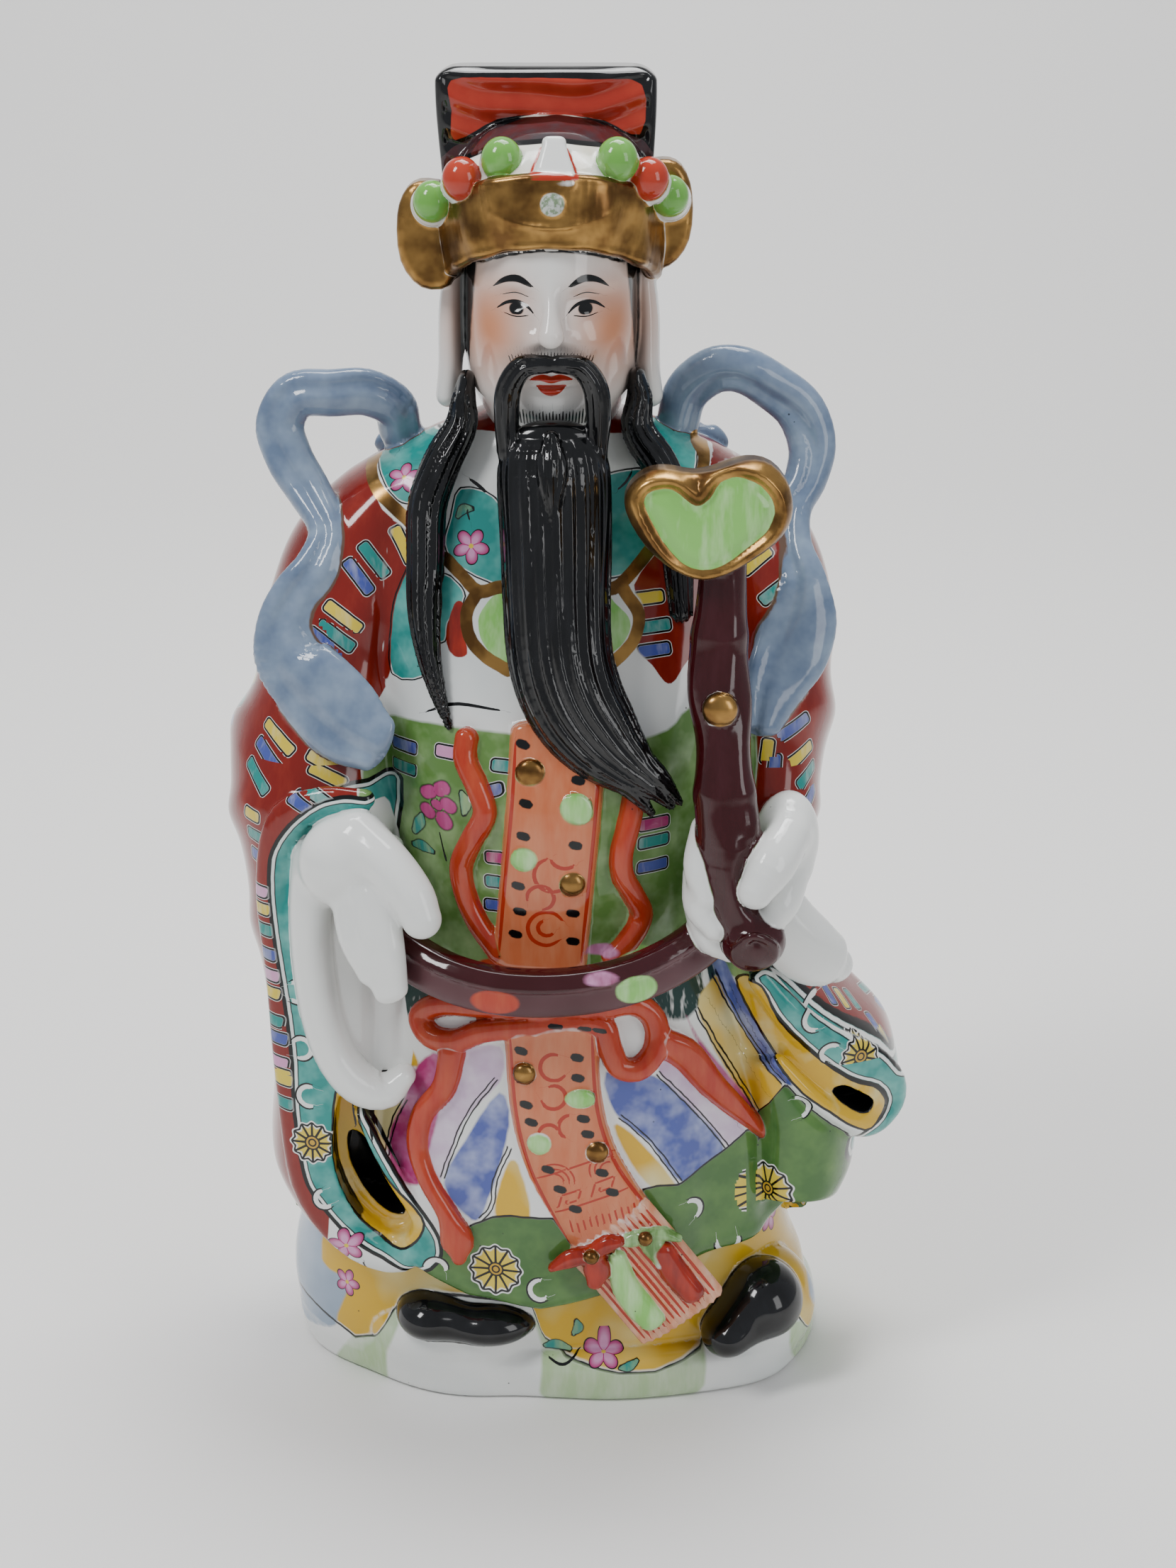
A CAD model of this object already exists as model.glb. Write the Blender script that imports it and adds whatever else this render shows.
# Porcelain figure of a bearded court official: sculpted forms, painted enamels and studio light.
# Lengths are millimetres in the frame of the solids: +Z is up and the front faces -Y.
# Meshes are scaled to metres.
import math

import bmesh
import bpy
import numpy as np
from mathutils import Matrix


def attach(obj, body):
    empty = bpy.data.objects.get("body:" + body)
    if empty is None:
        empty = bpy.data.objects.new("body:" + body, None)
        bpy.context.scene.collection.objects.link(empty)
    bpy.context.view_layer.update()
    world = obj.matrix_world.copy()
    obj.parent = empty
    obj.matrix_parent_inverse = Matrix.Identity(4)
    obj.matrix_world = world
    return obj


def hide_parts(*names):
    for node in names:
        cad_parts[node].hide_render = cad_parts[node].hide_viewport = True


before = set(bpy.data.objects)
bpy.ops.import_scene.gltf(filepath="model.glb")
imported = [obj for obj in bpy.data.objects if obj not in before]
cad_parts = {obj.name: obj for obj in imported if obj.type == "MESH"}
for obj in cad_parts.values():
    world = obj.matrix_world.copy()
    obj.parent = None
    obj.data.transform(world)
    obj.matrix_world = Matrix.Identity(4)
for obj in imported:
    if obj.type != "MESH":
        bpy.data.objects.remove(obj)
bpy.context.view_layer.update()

import openvdb
from mathutils import Vector

MM = 0.001
NODE = "lu_xing_figure"

# Facing directions and the middle of the head
FRONT = (0.0, -1.0, 0.0)
BACK = (0.0, 1.0, 0.0)
FACE_X = -1.7

# Cross-sections, lowest first: height, left, right, front, back, squareness
BASE = [
    [0, -84, 83, -57, 54, 2.4],
    [11, -86, 83, -58, 55, 2.4],
    [16, -84, 80, -55, 52, 2.4],
]
UNDERSKIRT = [
    [8, -85, 81, -50, 50, 2.4],
    [22, -87, 79, -52, 50, 2.4],
    [34, -86, 74.5, -53, 48, 2.4],
    [46, -82, 72, -53, 47, 2.5],
    [62, -78, 71, -53, 46, 2.5],
]
ROBE = [
    [30, -84, 77, -59, 55, 2.5],
    [60, -83, 77, -60, 54, 2.5],
    [90, -78, 74, -59, 51, 2.5],
    [120, -66, 64, -58, 47, 2.4],
    [142, -57, 55, -55, 44, 2.4],
    [155, -54, 52, -55, 43, 2.3],
    [175, -54, 52, -58, 42, 2.2],
    [195, -57, 54, -58, 42, 2.2],
    [215, -59, 57, -53, 42, 2.3],
    [240, -62, 60, -44, 42, 2.4],
    [265, -64, 62, -35, 38, 2.4],
    [285, -57, 55, -26, 32, 2.3],
    [295, -40, 38, -20, 26, 2.1],
    [303, -21, 17, -16, 18, 2],
]
LEFT_SLEEVE = [
    [46, -76, -48, -44, 4, 2.2],
    [50, -81, -41, -50, 12, 2.3],
    [62, -88, -39, -54, 20, 2.5],
    [74, -91.5, -43, -55, 24, 2.6],
    [98, -90, -48, -55, 27, 2.6],
    [122, -91, -48, -53, 28, 2.6],
    [145, -94, -47, -51, 28, 2.5],
    [165, -97, -46, -49, 28, 2.4],
    [185, -100, -44, -47, 28, 2.3],
    [202, -100, -44, -44, 28, 2.2],
    [218, -93, -43, -39, 28, 2.2],
    [250, -86, -40, -31, 28, 2.2],
    [268, -78, -36, -26, 26, 2.2],
    [282, -64, -32, -20, 22, 2],
    [290, -50, -30, -12, 16, 2],
]
RIGHT_SLEEVE = [
    [80, 88, 101, -34, 4, 2],
    [84, 78, 105, -40, 10, 2.2],
    [90, 66, 107, -43, 14, 2.3],
    [98, 54, 106.5, -45, 18, 2.5],
    [109, 50, 102.5, -46, 21, 2.5],
    [121, 47, 91, -46, 23, 2.4],
    [131, 46, 81, -46, 25, 2.3],
    [142, 46, 73, -46, 26, 2.3],
    [157, 46, 71.5, -47, 27, 2.3],
    [175, 45, 76, -48, 28, 2.3],
    [200, 44, 80.5, -46, 28, 2.3],
    [225, 42, 82, -40, 28, 2.2],
    [250, 40, 81, -31, 28, 2.2],
    [268, 36, 74, -26, 26, 2.2],
    [282, 31, 62, -20, 22, 2],
    [290, 29, 48, -12, 16, 2],
]
TAIL_OF_ROBE = [
    [48, 62, 84, -44, 0, 2.2],
    [60, 55, 89.5, -49, 5, 2.3],
    [71, 54, 93.5, -50, 6, 2.4],
    [90, 54, 92, -50, 6, 2.3],
    [112, 50, 74, -48, 2, 2],
]
HEAD = [
    [292, -18, 14, -17, 14, 2],
    [304, -22.5, 18.5, -33, 14, 2],
    [312, -26, 22, -38, 16, 2.1],
    [330, -27, 23.5, -41, 18, 2.2],
    [362, -26.5, 23, -36.5, 17, 2.2],
]
CAP = [
    [349, -29.5, 26, -36, 20, 2.2],
    [370, -30, 26.5, -39, 20, 2.2],
    [376, -27, 24, -35, 11, 2.2],
    [383, -20, 17, -23, 9, 2],
    [387.5, -8, 5, -6, 4, 2],
]
HAT_TIER = [
    [366, -33, 27, -4, 14, 6],
    [396, -34.8, 28.2, -8, 16, 6],
    [400, -32.5, 26, -6, 14, 6],
]

# Lower edge of the green hem: x and height across the front, and one height at the back
HEM_X = [-84, -48, -28, -6, 20, 42, 62, 78]
HEM_Z = [58, 50, 38, 35, 40, 49, 52, 62]
HEM_BACK = 38

# Pleats of the skirt and of the back, and folds of the sleeves: height, depth and spread
BELT_HEIGHT = 132
BACK_PLEAT_TOP = 240
PLEATS = 16
FRONT_PLEAT = 1.2
BACK_PLEAT = 2.4
SLEEVE_FOLDS = [[236, 1.6, 8], [208, 2.2, 8], [176, 2, 7], [140, 1.6, 8]]

# Bands along smooth curves: x, y, z, half width, half thickness
LEFT_BORDER = [
    [-56, -53, 198, 3, 3], [-69, -51, 196, 5, 3], [-80, -48, 189, 5.5, 3.5], [-84, -46, 168, 5.5, 3.5],
    [-82, -47, 140, 5.5, 3.5], [-80, -49, 105, 5.5, 3.5], [-76, -50, 72, 5.5, 4], [-64, -52, 55, 5.5, 4],
    [-50, -52, 49, 5.5, 4], [-42, -53, 57, 4, 3.5], [-50, -55, 77, 3, 3], [-60, -55, 98, 2.5, 3],
]
RIGHT_BORDER = [
    [60, -48, 140, 4, 3], [69, -47, 128, 5, 3.5], [81, -43, 116.5, 5.7, 4], [93.5, -37, 108, 6, 4],
    [102, -31, 98.5, 4.6, 4], [103, -29, 90, 3.6, 3.6], [97.5, -34, 85.8, 3.2, 3.4],
    [89, -42, 90, 3, 3.2], [78, -47.5, 99.5, 2.8, 3], [66, -49, 113, 2.4, 2.4],
]
BEARD = [
    [-1.5, -41, 301.5, 11.5, 5], [-1.4, -41.5, 297.5, 14.4, 8], [-1, -42, 290, 15.7, 10.6],
    [-0.6, -45, 274, 15.6, 11], [-0.3, -49, 256, 15.2, 10], [1, -53, 240, 14.8, 8.5],
    [5, -56, 228, 14.2, 7], [12, -58, 218, 12.4, 6], [20, -59.5, 210.5, 8.5, 5], [26, -59.5, 206, 5, 4],
]
BEARD_TIPS = [
    [[18, -60, 216, 5, 3.5], [28, -60.5, 208, 3.4, 2.8], [35, -59, 199, 0.9, 1]],
    [[16, -60, 212, 5, 3.5], [26, -61, 205, 3, 2.8], [32.5, -59.5, 198, 0.9, 1]],
    [[12, -60, 211, 5, 3.5], [21, -61, 204, 3, 2.6], [27, -60, 196, 0.9, 1]],
]
GOATEE = [
    [-1.6, -47, 303, 2, 1.5], [-1.5, -51.4, 297, 4, 2], [-1.4, -53, 289, 3.2, 1.8],
    [-1.2, -53.4, 280, 0.8, 1],
]
MOUSTACHE = [
    [-3, -45, 322.8, 2.6, 2.2], [-9.4, -43.8, 321.8, 3.2, 2.8], [-13.4, -42.4, 316, 3.5, 3.2],
    [-14.3, -41, 307, 3.6, 4], [-14, -41, 298, 3.2, 4],
]
LEFT_LOCK = [
    [-26.4, -17, 314, 2.4, 6], [-27.2, -18, 308, 3.4, 6.5], [-28, -22, 301, 4.6, 5],
    [-33, -27, 292, 5.4, 5], [-37.5, -31, 280, 5.6, 4], [-38, -36, 266, 5.4, 3.5],
    [-38.5, -40, 252, 4.8, 3], [-37.5, -43, 240, 3.6, 2.6], [-35, -45.5, 229, 2.4, 2.2],
    [-31.5, -47, 218, 1, 1.2],
]
RIGHT_LOCK = [
    [22.8, -14.5, 314, 2.6, 7], [23.4, -16.5, 308, 3.6, 7], [23, -22, 300, 4.6, 5.5], [29, -27, 291, 5.2, 5],
    [33.5, -31, 279, 5, 4.5], [34.5, -34.5, 264, 4.4, 4], [35.5, -37, 250, 3.4, 4],
]
LEFT_LOOP = [
    [-40, 4, 284, 6, 6], [-46.5, 2, 294, 6.5, 6], [-48, -2, 303, 6.5, 5.5], [-56, -5, 307.5, 6.7, 5],
    [-66, -6, 307, 7, 5], [-77, -5, 306.5, 7.2, 5], [-82.5, -5, 298, 7.2, 5], [-79.5, -8, 289, 6.9, 5],
    [-73, -12, 280, 6.6, 5], [-67.5, -20, 270, 6, 4.5], [-70.5, -27, 261, 6.4, 4], [-76, -29, 252, 7.5, 4],
    [-79, -31, 243, 9, 4], [-78, -34, 234, 11, 4], [-70, -39, 226, 12.5, 4], [-60, -44, 218, 12.5, 4],
    [-52, -48, 213, 9, 3],
]
RIGHT_LOOP = [
    [31, 4, 284, 6, 6], [35, 2, 295, 6.5, 6], [38, -2, 307, 6.6, 5.5], [45.5, -5, 314.5, 6.8, 5],
    [54, -6, 314.5, 7, 5], [63, -5, 308.5, 7.2, 5], [71, -5, 301.5, 7.2, 5], [75, -6, 292, 7, 5],
    [73, -9, 283, 6.6, 5], [68, -14, 275, 6, 5], [68, -21, 266, 5.6, 4], [71.5, -27, 257, 7, 4],
    [71, -31, 247, 10.5, 4], [67, -36, 237, 11, 4], [62, -41, 227, 8.5, 4], [59, -45, 218, 6, 3],
]
BACK_SWAG = [
    [-50, 16, 290, 7, 4], [-40, 32, 272, 8.5, 4], [-20, 40.5, 254, 9.5, 4], [-2, 43, 248, 10, 4],
    [16, 40.5, 254, 9.5, 4], [36, 32, 272, 8.5, 4], [45, 16, 290, 7, 4],
]
BELT = [
    [-50, -52, 154.5, 7.4, 5], [-44, -60, 152, 7.4, 5], [-33, -67.5, 148.6, 7.4, 5],
    [-20, -72, 146.3, 7.4, 5], [-5, -73.5, 145.6, 7.4, 5], [10, -72.5, 146.5, 7.4, 5],
    [24, -69, 149, 7.4, 5], [37, -62.5, 153.4, 7.4, 5], [47, -54, 158.5, 7.4, 5],
]
SCEPTRE_STEM = [
    [46.8, -53, 273, 6.6, 6], [46.7, -54, 262, 6.9, 6.2], [45.8, -56, 245, 8.2, 6.8], [46, -59, 231, 9, 7.2],
    [46.7, -62, 217, 7.8, 7], [47.3, -65, 203, 8.8, 7.4], [48.5, -68, 190, 9, 7.2], [48, -70, 181, 6, 6.3],
    [50, -71, 172, 5.4, 6], [55, -71, 164, 7, 7],
]
KNOB_RING = [[50.6, 161.6], [55.4, 166.8], [61.4, 163], [60.6, 157.8], [54.8, 155.2], [50.8, 157.8]]
LEFT_DROP = [
    [-71, -50, 178, 7, 7], [-72.5, -51, 168, 6.5, 8], [-73, -52, 157, 6.2, 8.5], [-72.4, -52, 144, 6.2, 8.5],
    [-70.3, -53, 129, 6.2, 8.5], [-66, -54, 116.5, 6.2, 8], [-59.5, -55, 108.5, 6.2, 7.5],
    [-52, -55, 106.5, 5.4, 6.5], [-46.5, -54, 111, 3.6, 5],
]
LEFT_BAG = [[-60, -39, 178, 14, 5], [-61, -39, 150, 13, 5], [-58.5, -40, 126, 12, 5], [-54, -43, 111, 8, 5]]
RIGHT_DROP = [
    [60, -50, 172, 8.5, 8], [65, -50, 160, 10, 9], [73, -49, 150, 10.5, 8.5], [80, -47, 144.8, 8.6, 7],
    [82.5, -46, 143.2, 5.5, 5],
]
LEFT_FINGERS = [
    [[-58, -58, 188, 8, 7.5], [-49, -65, 182, 7.4, 7], [-42, -70, 174.5, 6.8, 6.4],
     [-39, -72.5, 168.5, 5.8, 5.8]],
    [[-51, -66, 172, 5, 5.5], [-48.5, -70.5, 158, 4.5, 5], [-46.8, -71, 146.5, 3.4, 4]],
    [[-56, -64, 172, 5, 5.5], [-53.5, -69.5, 158, 4.6, 5], [-50, -70, 145, 3.6, 4]],
    [[-61, -60, 171, 5, 5.5], [-59, -66, 160, 4.6, 5], [-55, -68, 150, 3.4, 4]],
]
RIGHT_FINGERS = [
    [[66, -64, 191, 6.4, 6], [61, -73, 185.5, 6.8, 6], [56, -77, 178.5, 5, 5]],
    [[67, -60, 179, 6, 6.5], [63.5, -68, 172, 6, 6], [60, -71, 167, 4.6, 5]],
    [[42.5, -62, 192, 4.6, 5], [40.4, -68, 183, 4.6, 5], [42.4, -71, 175, 3.8, 4.4]],
    [[41, -61, 178, 5, 5.5], [40.8, -68, 171, 4.8, 5.4], [45, -72, 165.5, 3.8, 4.4]],
    [[42.5, -59, 168, 6, 7], [44.5, -64, 160.5, 5.6, 6.4], [50, -66, 157, 4.2, 5]],
]

# Bands that lie on the front of the robe: x and z
BOW_LEFT = [
    [-6, 133.5], [-24, 134], [-36, 132.5], [-41.6, 127.8], [-38.6, 122.8], [-31, 122.6], [-23, 126.4],
    [-8, 129],
]
BOW_RIGHT = [
    [-6, 133.5], [12, 134], [22, 134.6], [28.2, 129.6], [29.2, 121], [24, 114.6], [18, 115.6], [15.2, 122],
    [12, 129.4], [-6, 129.4],
]
LEFT_CORD = [
    [-26.5, 216], [-27, 210], [-23.3, 202], [-21.3, 195], [-25, 187], [-28.5, 178], [-27.5, 169],
    [-24, 160], [-18, 151],
]
RIGHT_CORD = [
    [22, 199], [20.5, 191], [18.5, 183], [18.8, 176], [22, 169], [24.5, 162], [21.5, 155], [16, 149],
]
LEFT_RIBBON = [
    [-32, 119, 4], [-34.6, 108, 3.6], [-41, 99, 3.4], [-43, 89, 3.2], [-40, 78, 3], [-34, 67, 3.2],
    [-31, 58, 5.2], [-30.6, 53, 2.5],
]
RIGHT_RIBBON = [[31, 122, 4.6], [38, 117, 5], [46, 106, 4.2], [54, 96.5, 3.2], [61, 88, 2], [65, 83, 0.8]]
STUDS = [[-7.8, 207.7, 4.3], [4, 175, 3.7], [-10.3, 115, 3.4], [11.2, 89.6, 3.4]]
GREEN_DROPS = [[5.3, 197.6, 4.8, 4.8], [-9.7, 182.7, 3.9, 3.6], [6.4, 107, 4.6, 2.9], [-6, 92.5, 3.6, 3.4]]
RED_BOW = [
    [[9, 56.5, 2.4], [3, 54.8, 3], [-2.4, 52, 1.2]],
    [[10, 57, 2.2], [14.6, 59.8, 2.8], [18.4, 61, 1.4]],
    [[10, 56, 2.8], [11.2, 50.8, 4.2], [10.6, 47, 2.6]],
]
LEAF_BOW = [
    [[25.4, 62.4, 2], [21.4, 60.8, 2.4], [18.2, 60.2, 1]],
    [[26, 62.6, 2], [31, 62.8, 2.2], [36.2, 61.4, 1]],
    [[26, 62, 2.4], [28.8, 57.6, 3.4], [30.4, 52.8, 1.4]],
]
GREEN_TASSEL = [[17.6, 55, 2.6], [19.6, 46, 4], [24, 38.5, 4.6], [28.5, 33, 4]]
RED_TASSEL = [[31, 57, 3.6], [35, 49.5, 4.2], [40.5, 42.6, 3.8]]
BEADS = [[9.6, 56.8], [25.8, 63]]
UPPER_SASH = [[0, 217], [-1, 200], [-3, 178], [-4.8, 158], [-5.5, 149]]
LOWER_SASH = [[-2.4, 127], [-0.8, 103], [3.5, 86], [10, 73], [16, 63]]
TASSEL_PANEL = [[15, 63], [25, 50], [37, 34]]

# Outlines of flat plates: x and z
LEFT_LINING = [[-66, 104], [-68.5, 84], [-64, 68], [-55, 58], [-47.5, 57], [-45, 63], [-54, 80], [-61, 98]]
LEFT_HOLLOW = [
    [-64, 88], [-64, 80], [-60, 70], [-54, 62.5], [-48.5, 60.5], [-48.5, 67], [-55, 78], [-60.5, 87],
]
RIGHT_HOLLOW = [
    [83, 101.5], [86, 102.8], [90.5, 100.2], [95.6, 95.6], [94.4, 92.6], [90.6, 94], [86.5, 97.4],
]
SCEPTRE_HEAD = [
    [19, 285], [19.4, 291], [24, 295.8], [30, 297], [37.6, 295.8], [43, 296.8], [52, 299.6], [59.2, 298],
    [64.2, 291.5], [64.8, 283], [60.4, 276], [49.8, 269], [40.5, 266], [32, 269], [24.5, 275.2],
]
SCEPTRE_HEART = [
    [24, 288.5], [26, 291.4], [31.5, 292], [35.6, 289], [38.8, 287.2], [42, 289.4], [44.8, 293.8],
    [49.6, 295.4], [55.8, 293], [59.8, 287.4], [58.4, 281], [52.6, 275.6], [46.2, 270.8], [40.6, 269.2],
    [35.4, 270.8], [31, 275], [26.8, 281.8],
]
FLAP = [
    [-28, 366], [-37, 369.5], [-42.5, 367.5], [-45.5, 360], [-44.8, 347], [-39, 339.5], [-31, 340],
    [-28, 350],
]
PEARL_RADII = [5.3, 5.5, 5.7]
PEARLS = [
    [-35.2, -21, 364.5], [-26.4, -28, 371.5], [-15.2, -31, 377],
    [16.7, -31, 377], [25.6, -28, 371.5], [31.6, -21, 366],
]


# Distance functions
FAR = 30.0
REACH = 7.0
LEVEL_STEP = 0.5
PATH_STEPS = 4


class Form:
    """A distance function and the box outside which it isn't tried."""

    def __init__(self, low, high, distance):
        self.low = np.asarray(low, np.float32) - REACH
        self.high = np.asarray(high, np.float32) + REACH
        self.distance = distance

    def at(self, points):
        out = np.full(len(points), FAR, np.float32)
        near = np.all((points > self.low) & (points < self.high), axis=1)
        if near.any():
            out[near] = self.distance(points[near])
        return out


def smooth_min(a, b, radius):
    gap = np.maximum(radius - np.abs(a - b), 0)
    return np.minimum(a, b) - gap * gap / (4 * radius)


def smooth_max(a, b, radius):
    return -smooth_min(-a, -b, radius)


def smooth_step(low, high, value):
    t = np.clip((value - low) / (high - low), 0, 1)
    return t * t * (3 - 2 * t)


def bump(value, centre, spread):
    return np.exp(-(((value - centre) / spread) ** 2))


def smooth_rows(keys, values, at):
    """A smooth curve through rows of values that are given at increasing keys."""
    last = len(keys) - 1
    order = np.arange(last + 1)
    low = np.maximum(order - 1, 0)
    high = np.minimum(order + 1, last)
    slopes = (values[high] - values[low]) / (keys[high] - keys[low])[:, None]
    i = np.clip(np.searchsorted(keys, at, side="right") - 1, 0, last - 1)
    span = (keys[i + 1] - keys[i])[:, None]
    t = (at - keys[i])[:, None] / span
    rise = t * t * (3 - 2 * t)
    start_pull = t * (1 - t) ** 2 * slopes[i] * span
    end_pull = t * t * (t - 1) * slopes[i + 1] * span
    return values[i] + (values[i + 1] - values[i]) * rise + start_pull + end_pull


def loft(table, rounding=2.0, rise=None):
    """Stacked rounded sections. rise(points, angle) lifts the surface; the angle is 0 at the front."""
    table = np.array(table, float)
    levels = np.arange(table[0, 0], table[-1, 0] + LEVEL_STEP, LEVEL_STEP)
    columns = smooth_rows(table[:, 0], table[:, 1:], levels).T

    def distance(p):
        left, right, front, back, power = (np.interp(p[:, 2], levels, c) for c in columns)
        half = np.maximum((right - left) / 2, 0.5)
        depth = np.maximum(np.where(p[:, 1] < 0, -front, back), 0.5)
        x = (p[:, 0] - (left + right) / 2) / half
        y = p[:, 1] / depth
        across = np.abs(x) + 1e-4
        along = np.abs(y) + 1e-4
        r = (across**power + along**power) ** (1 / power)
        slope = np.hypot((across / r) ** (power - 1) / half, (along / r) ** (power - 1) / depth)
        d = (r - 1) / slope
        if rise is not None:
            angle = np.arctan2(np.sign(x) * across ** (power / 2), -np.sign(y) * along ** (power / 2))
            d = d - rise(p, angle)
        return smooth_max(d, np.maximum(levels[0] - p[:, 2], p[:, 2] - table[-1, 0]), rounding)

    low = [table[:, 1].min(), table[:, 3].min(), table[0, 0]]
    high = [table[:, 2].max(), table[:, 4].max(), table[-1, 0]]
    return Form(low, high, distance)


class Path:
    """A smooth path through stations of x, y, z, half width and half thickness, with a frame at each step."""

    def __init__(self, stations, facing=FRONT, closed=False):
        rows = np.array(stations + stations[:1] if closed else stations, float)
        chords = np.linalg.norm(np.diff(rows[:, :3], axis=0), axis=1)
        knots = np.concatenate([[0], np.cumsum(np.sqrt(chords))])
        at = np.linspace(0, knots[-1], PATH_STEPS * (len(rows) - 1) + 1)
        path = smooth_rows(knots, rows, at)
        self.points = path[:, :3]
        self.sizes = path[:, 3:5]
        self.tangent = unit(np.gradient(self.points, axis=0))
        self.across = unit(np.cross(self.tangent, facing))
        self.normal = unit(np.cross(self.across, self.tangent))
        steps = np.linalg.norm(np.diff(self.points, axis=0), axis=1)
        self.run = np.concatenate([[0], np.cumsum(steps)])

    def locate(self, p):
        """Local place of each point: run along, offsets across, out and along, and the two half sizes."""
        samples = self.points
        square = (samples**2).sum(1)[None, :] - 2 * p @ samples.T
        nearest = square.argmin(1)
        ahead = ((p - samples[nearest]) * self.tangent[nearest]).sum(1) < 0
        i = np.clip(nearest - ahead, 0, len(samples) - 2)
        chord = samples[i + 1] - samples[i]
        t = np.clip(((p - samples[i]) * chord).sum(1) / (chord**2).sum(1), 0, 1)[:, None]

        def between(rows):
            return rows[i] + t * (rows[i + 1] - rows[i])

        off = p - between(samples)
        sizes = between(self.sizes)
        run = between(self.run[:, None])[:, 0]
        u = (off * between(self.across)).sum(1)
        v = (off * between(self.normal)).sum(1)
        w = (off * between(self.tangent)).sum(1)
        return run, u, v, w, sizes[:, 0], sizes[:, 1]


def unit(vectors):
    return vectors / np.linalg.norm(vectors, axis=-1, keepdims=True)


def section_distance(offsets, sizes, power):
    """Distance to a superellipse or superellipsoid from offsets along its axes."""
    shares = [np.abs(o) / s + 1e-4 for o, s in zip(offsets, sizes)]
    r = sum(s**power for s in shares) ** (1 / power)
    slope = np.sqrt(sum(((s / r) ** (power - 1) / size) ** 2 for s, size in zip(shares, sizes)))
    return (r - 1) / slope


def stroke(stations, facing=FRONT, power=2.0, rise=None, closed=False):
    """A rounded band along a smooth path. rise(run, u, v) lifts its surface."""
    path = Path(stations, facing, closed)
    total = path.run[-1]

    def distance(p):
        run, u, v, w, wide, thick = path.locate(p)
        d = section_distance((u, v, w), (wide, thick, np.minimum(wide, thick)), power)
        if rise is not None:
            d = d - rise(run / total, u / wide, v / thick)
        return d

    margin = path.sizes.max(1)[:, None]
    return Form((path.points - margin).min(0), (path.points + margin).max(0), distance)


def blob(centre, radii, turn=0.0, power=2.0):
    """An ellipsoid, turned about the Y axis by a number of degrees."""
    centre = np.array(centre, float)
    c = math.cos(math.radians(turn))
    s = math.sin(math.radians(turn))

    def distance(p):
        q = p - centre
        turned = (q[:, 0] * c - q[:, 2] * s, q[:, 1], q[:, 0] * s + q[:, 2] * c)
        return section_distance(turned, radii, power)

    size = max(radii)
    return Form(centre - size, centre + size, distance)


def smooth_loop(outline, steps=3):
    rows = np.array(outline[-2:] + outline + outline[:3], float)
    knots = np.concatenate([[0], np.cumsum(np.sqrt(np.linalg.norm(np.diff(rows, axis=0), axis=1)))])
    at = []
    for start, end in zip(knots[2:2 + len(outline)], knots[3:]):
        at += [start + (end - start) * k / steps for k in range(steps)]
    return smooth_rows(knots, rows, np.array(at))


def outline_distance(outline, flat):
    """Signed distance from points in a plane to a closed outline, negative inside."""
    corners = np.asarray(outline, float)
    best = np.full(len(flat), 1e9)
    inside = np.zeros(len(flat), bool)
    for a, b in zip(corners, np.roll(corners, -1, axis=0)):
        edge = b - a
        off = flat - a
        t = np.clip(off @ edge / (edge @ edge), 0, 1)
        best = np.minimum(best, ((off - t[:, None] * edge) ** 2).sum(1))
        crosses = (a[1] > flat[:, 1]) != (b[1] > flat[:, 1])
        with np.errstate(divide="ignore", invalid="ignore"):
            at = a[0] + (flat[:, 1] - a[1]) * edge[0] / edge[1]
        inside ^= crosses & (flat[:, 0] < at)
    return np.where(inside, -1, 1) * np.sqrt(best)


def rounded_slab(side, depth, bevel):
    """Distance to a flat shape with rounded edges, from the distances across it and through it."""
    side = side + bevel
    depth = depth + bevel
    outer = np.hypot(np.maximum(side, 0), np.maximum(depth, 0))
    return np.minimum(np.maximum(side, depth), 0) + outer - bevel


def plate(outline, front, back, bevel, smooth=True):
    """A plate with rounded edges between two depths."""
    corners = smooth_loop(outline) if smooth else np.array(outline, float)

    def distance(p):
        side = outline_distance(corners, p[:, [0, 2]])
        depth = np.maximum(front - p[:, 1], p[:, 1] - back)
        return rounded_slab(side, depth, bevel)

    low = [corners[:, 0].min(), front, corners[:, 1].min()]
    high = [corners[:, 0].max(), back, corners[:, 1].max()]
    return Form(low, high, distance)


class Group:
    """Forms that make one painted sub-form. inner blends them, and join blends them into the rest."""

    def __init__(self, name, forms, inner=1.5, join=1.2):
        self.name = name
        self.forms = forms
        self.inner = inner
        self.join = join

    def at(self, points):
        d = self.forms[0].at(points)
        for form in self.forms[1:]:
            d = smooth_min(d, form.at(points), self.inner)
        return d


def hem_height(p):
    return np.where(p[:, 1] > 0, HEM_BACK, np.interp(p[:, 0], HEM_X, HEM_Z))


def robe_rise(p, angle):
    inside = p[:, 1] < 0
    top = np.where(inside, BELT_HEIGHT, BACK_PLEAT_TOP)
    depth = np.where(inside, FRONT_PLEAT, BACK_PLEAT)
    pleats = depth * smooth_step(0, 60, top - p[:, 2]) * np.cos(PLEATS * angle)
    lip = 0.9 * bump(p[:, 2] - hem_height(p), 2.5, 3)
    return pleats + lip


def sleeve_rise(p, angle):
    rise = 0
    for height, tall, wide in SLEEVE_FOLDS:
        rise = rise + tall * bump(p[:, 2] + 0.35 * p[:, 1], height, wide)
    return rise


def robe_form():
    return clipped(loft(ROBE, 2.0, robe_rise), hem_height)


FRONT_LEVELS = np.arange(30, 303, 1.0)
FRONT_ROWS = smooth_rows(np.array(ROBE, float)[:, 0], np.array(ROBE, float)[:, 1:], FRONT_LEVELS)


def front_of(x, z):
    left, right, front, _, power = (np.interp(z, FRONT_LEVELS, c) for c in FRONT_ROWS.T)
    u = min(abs((2 * x - left - right) / (right - left)), 0.999)
    return front * (1 - u**power) ** (1 / power)


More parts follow.
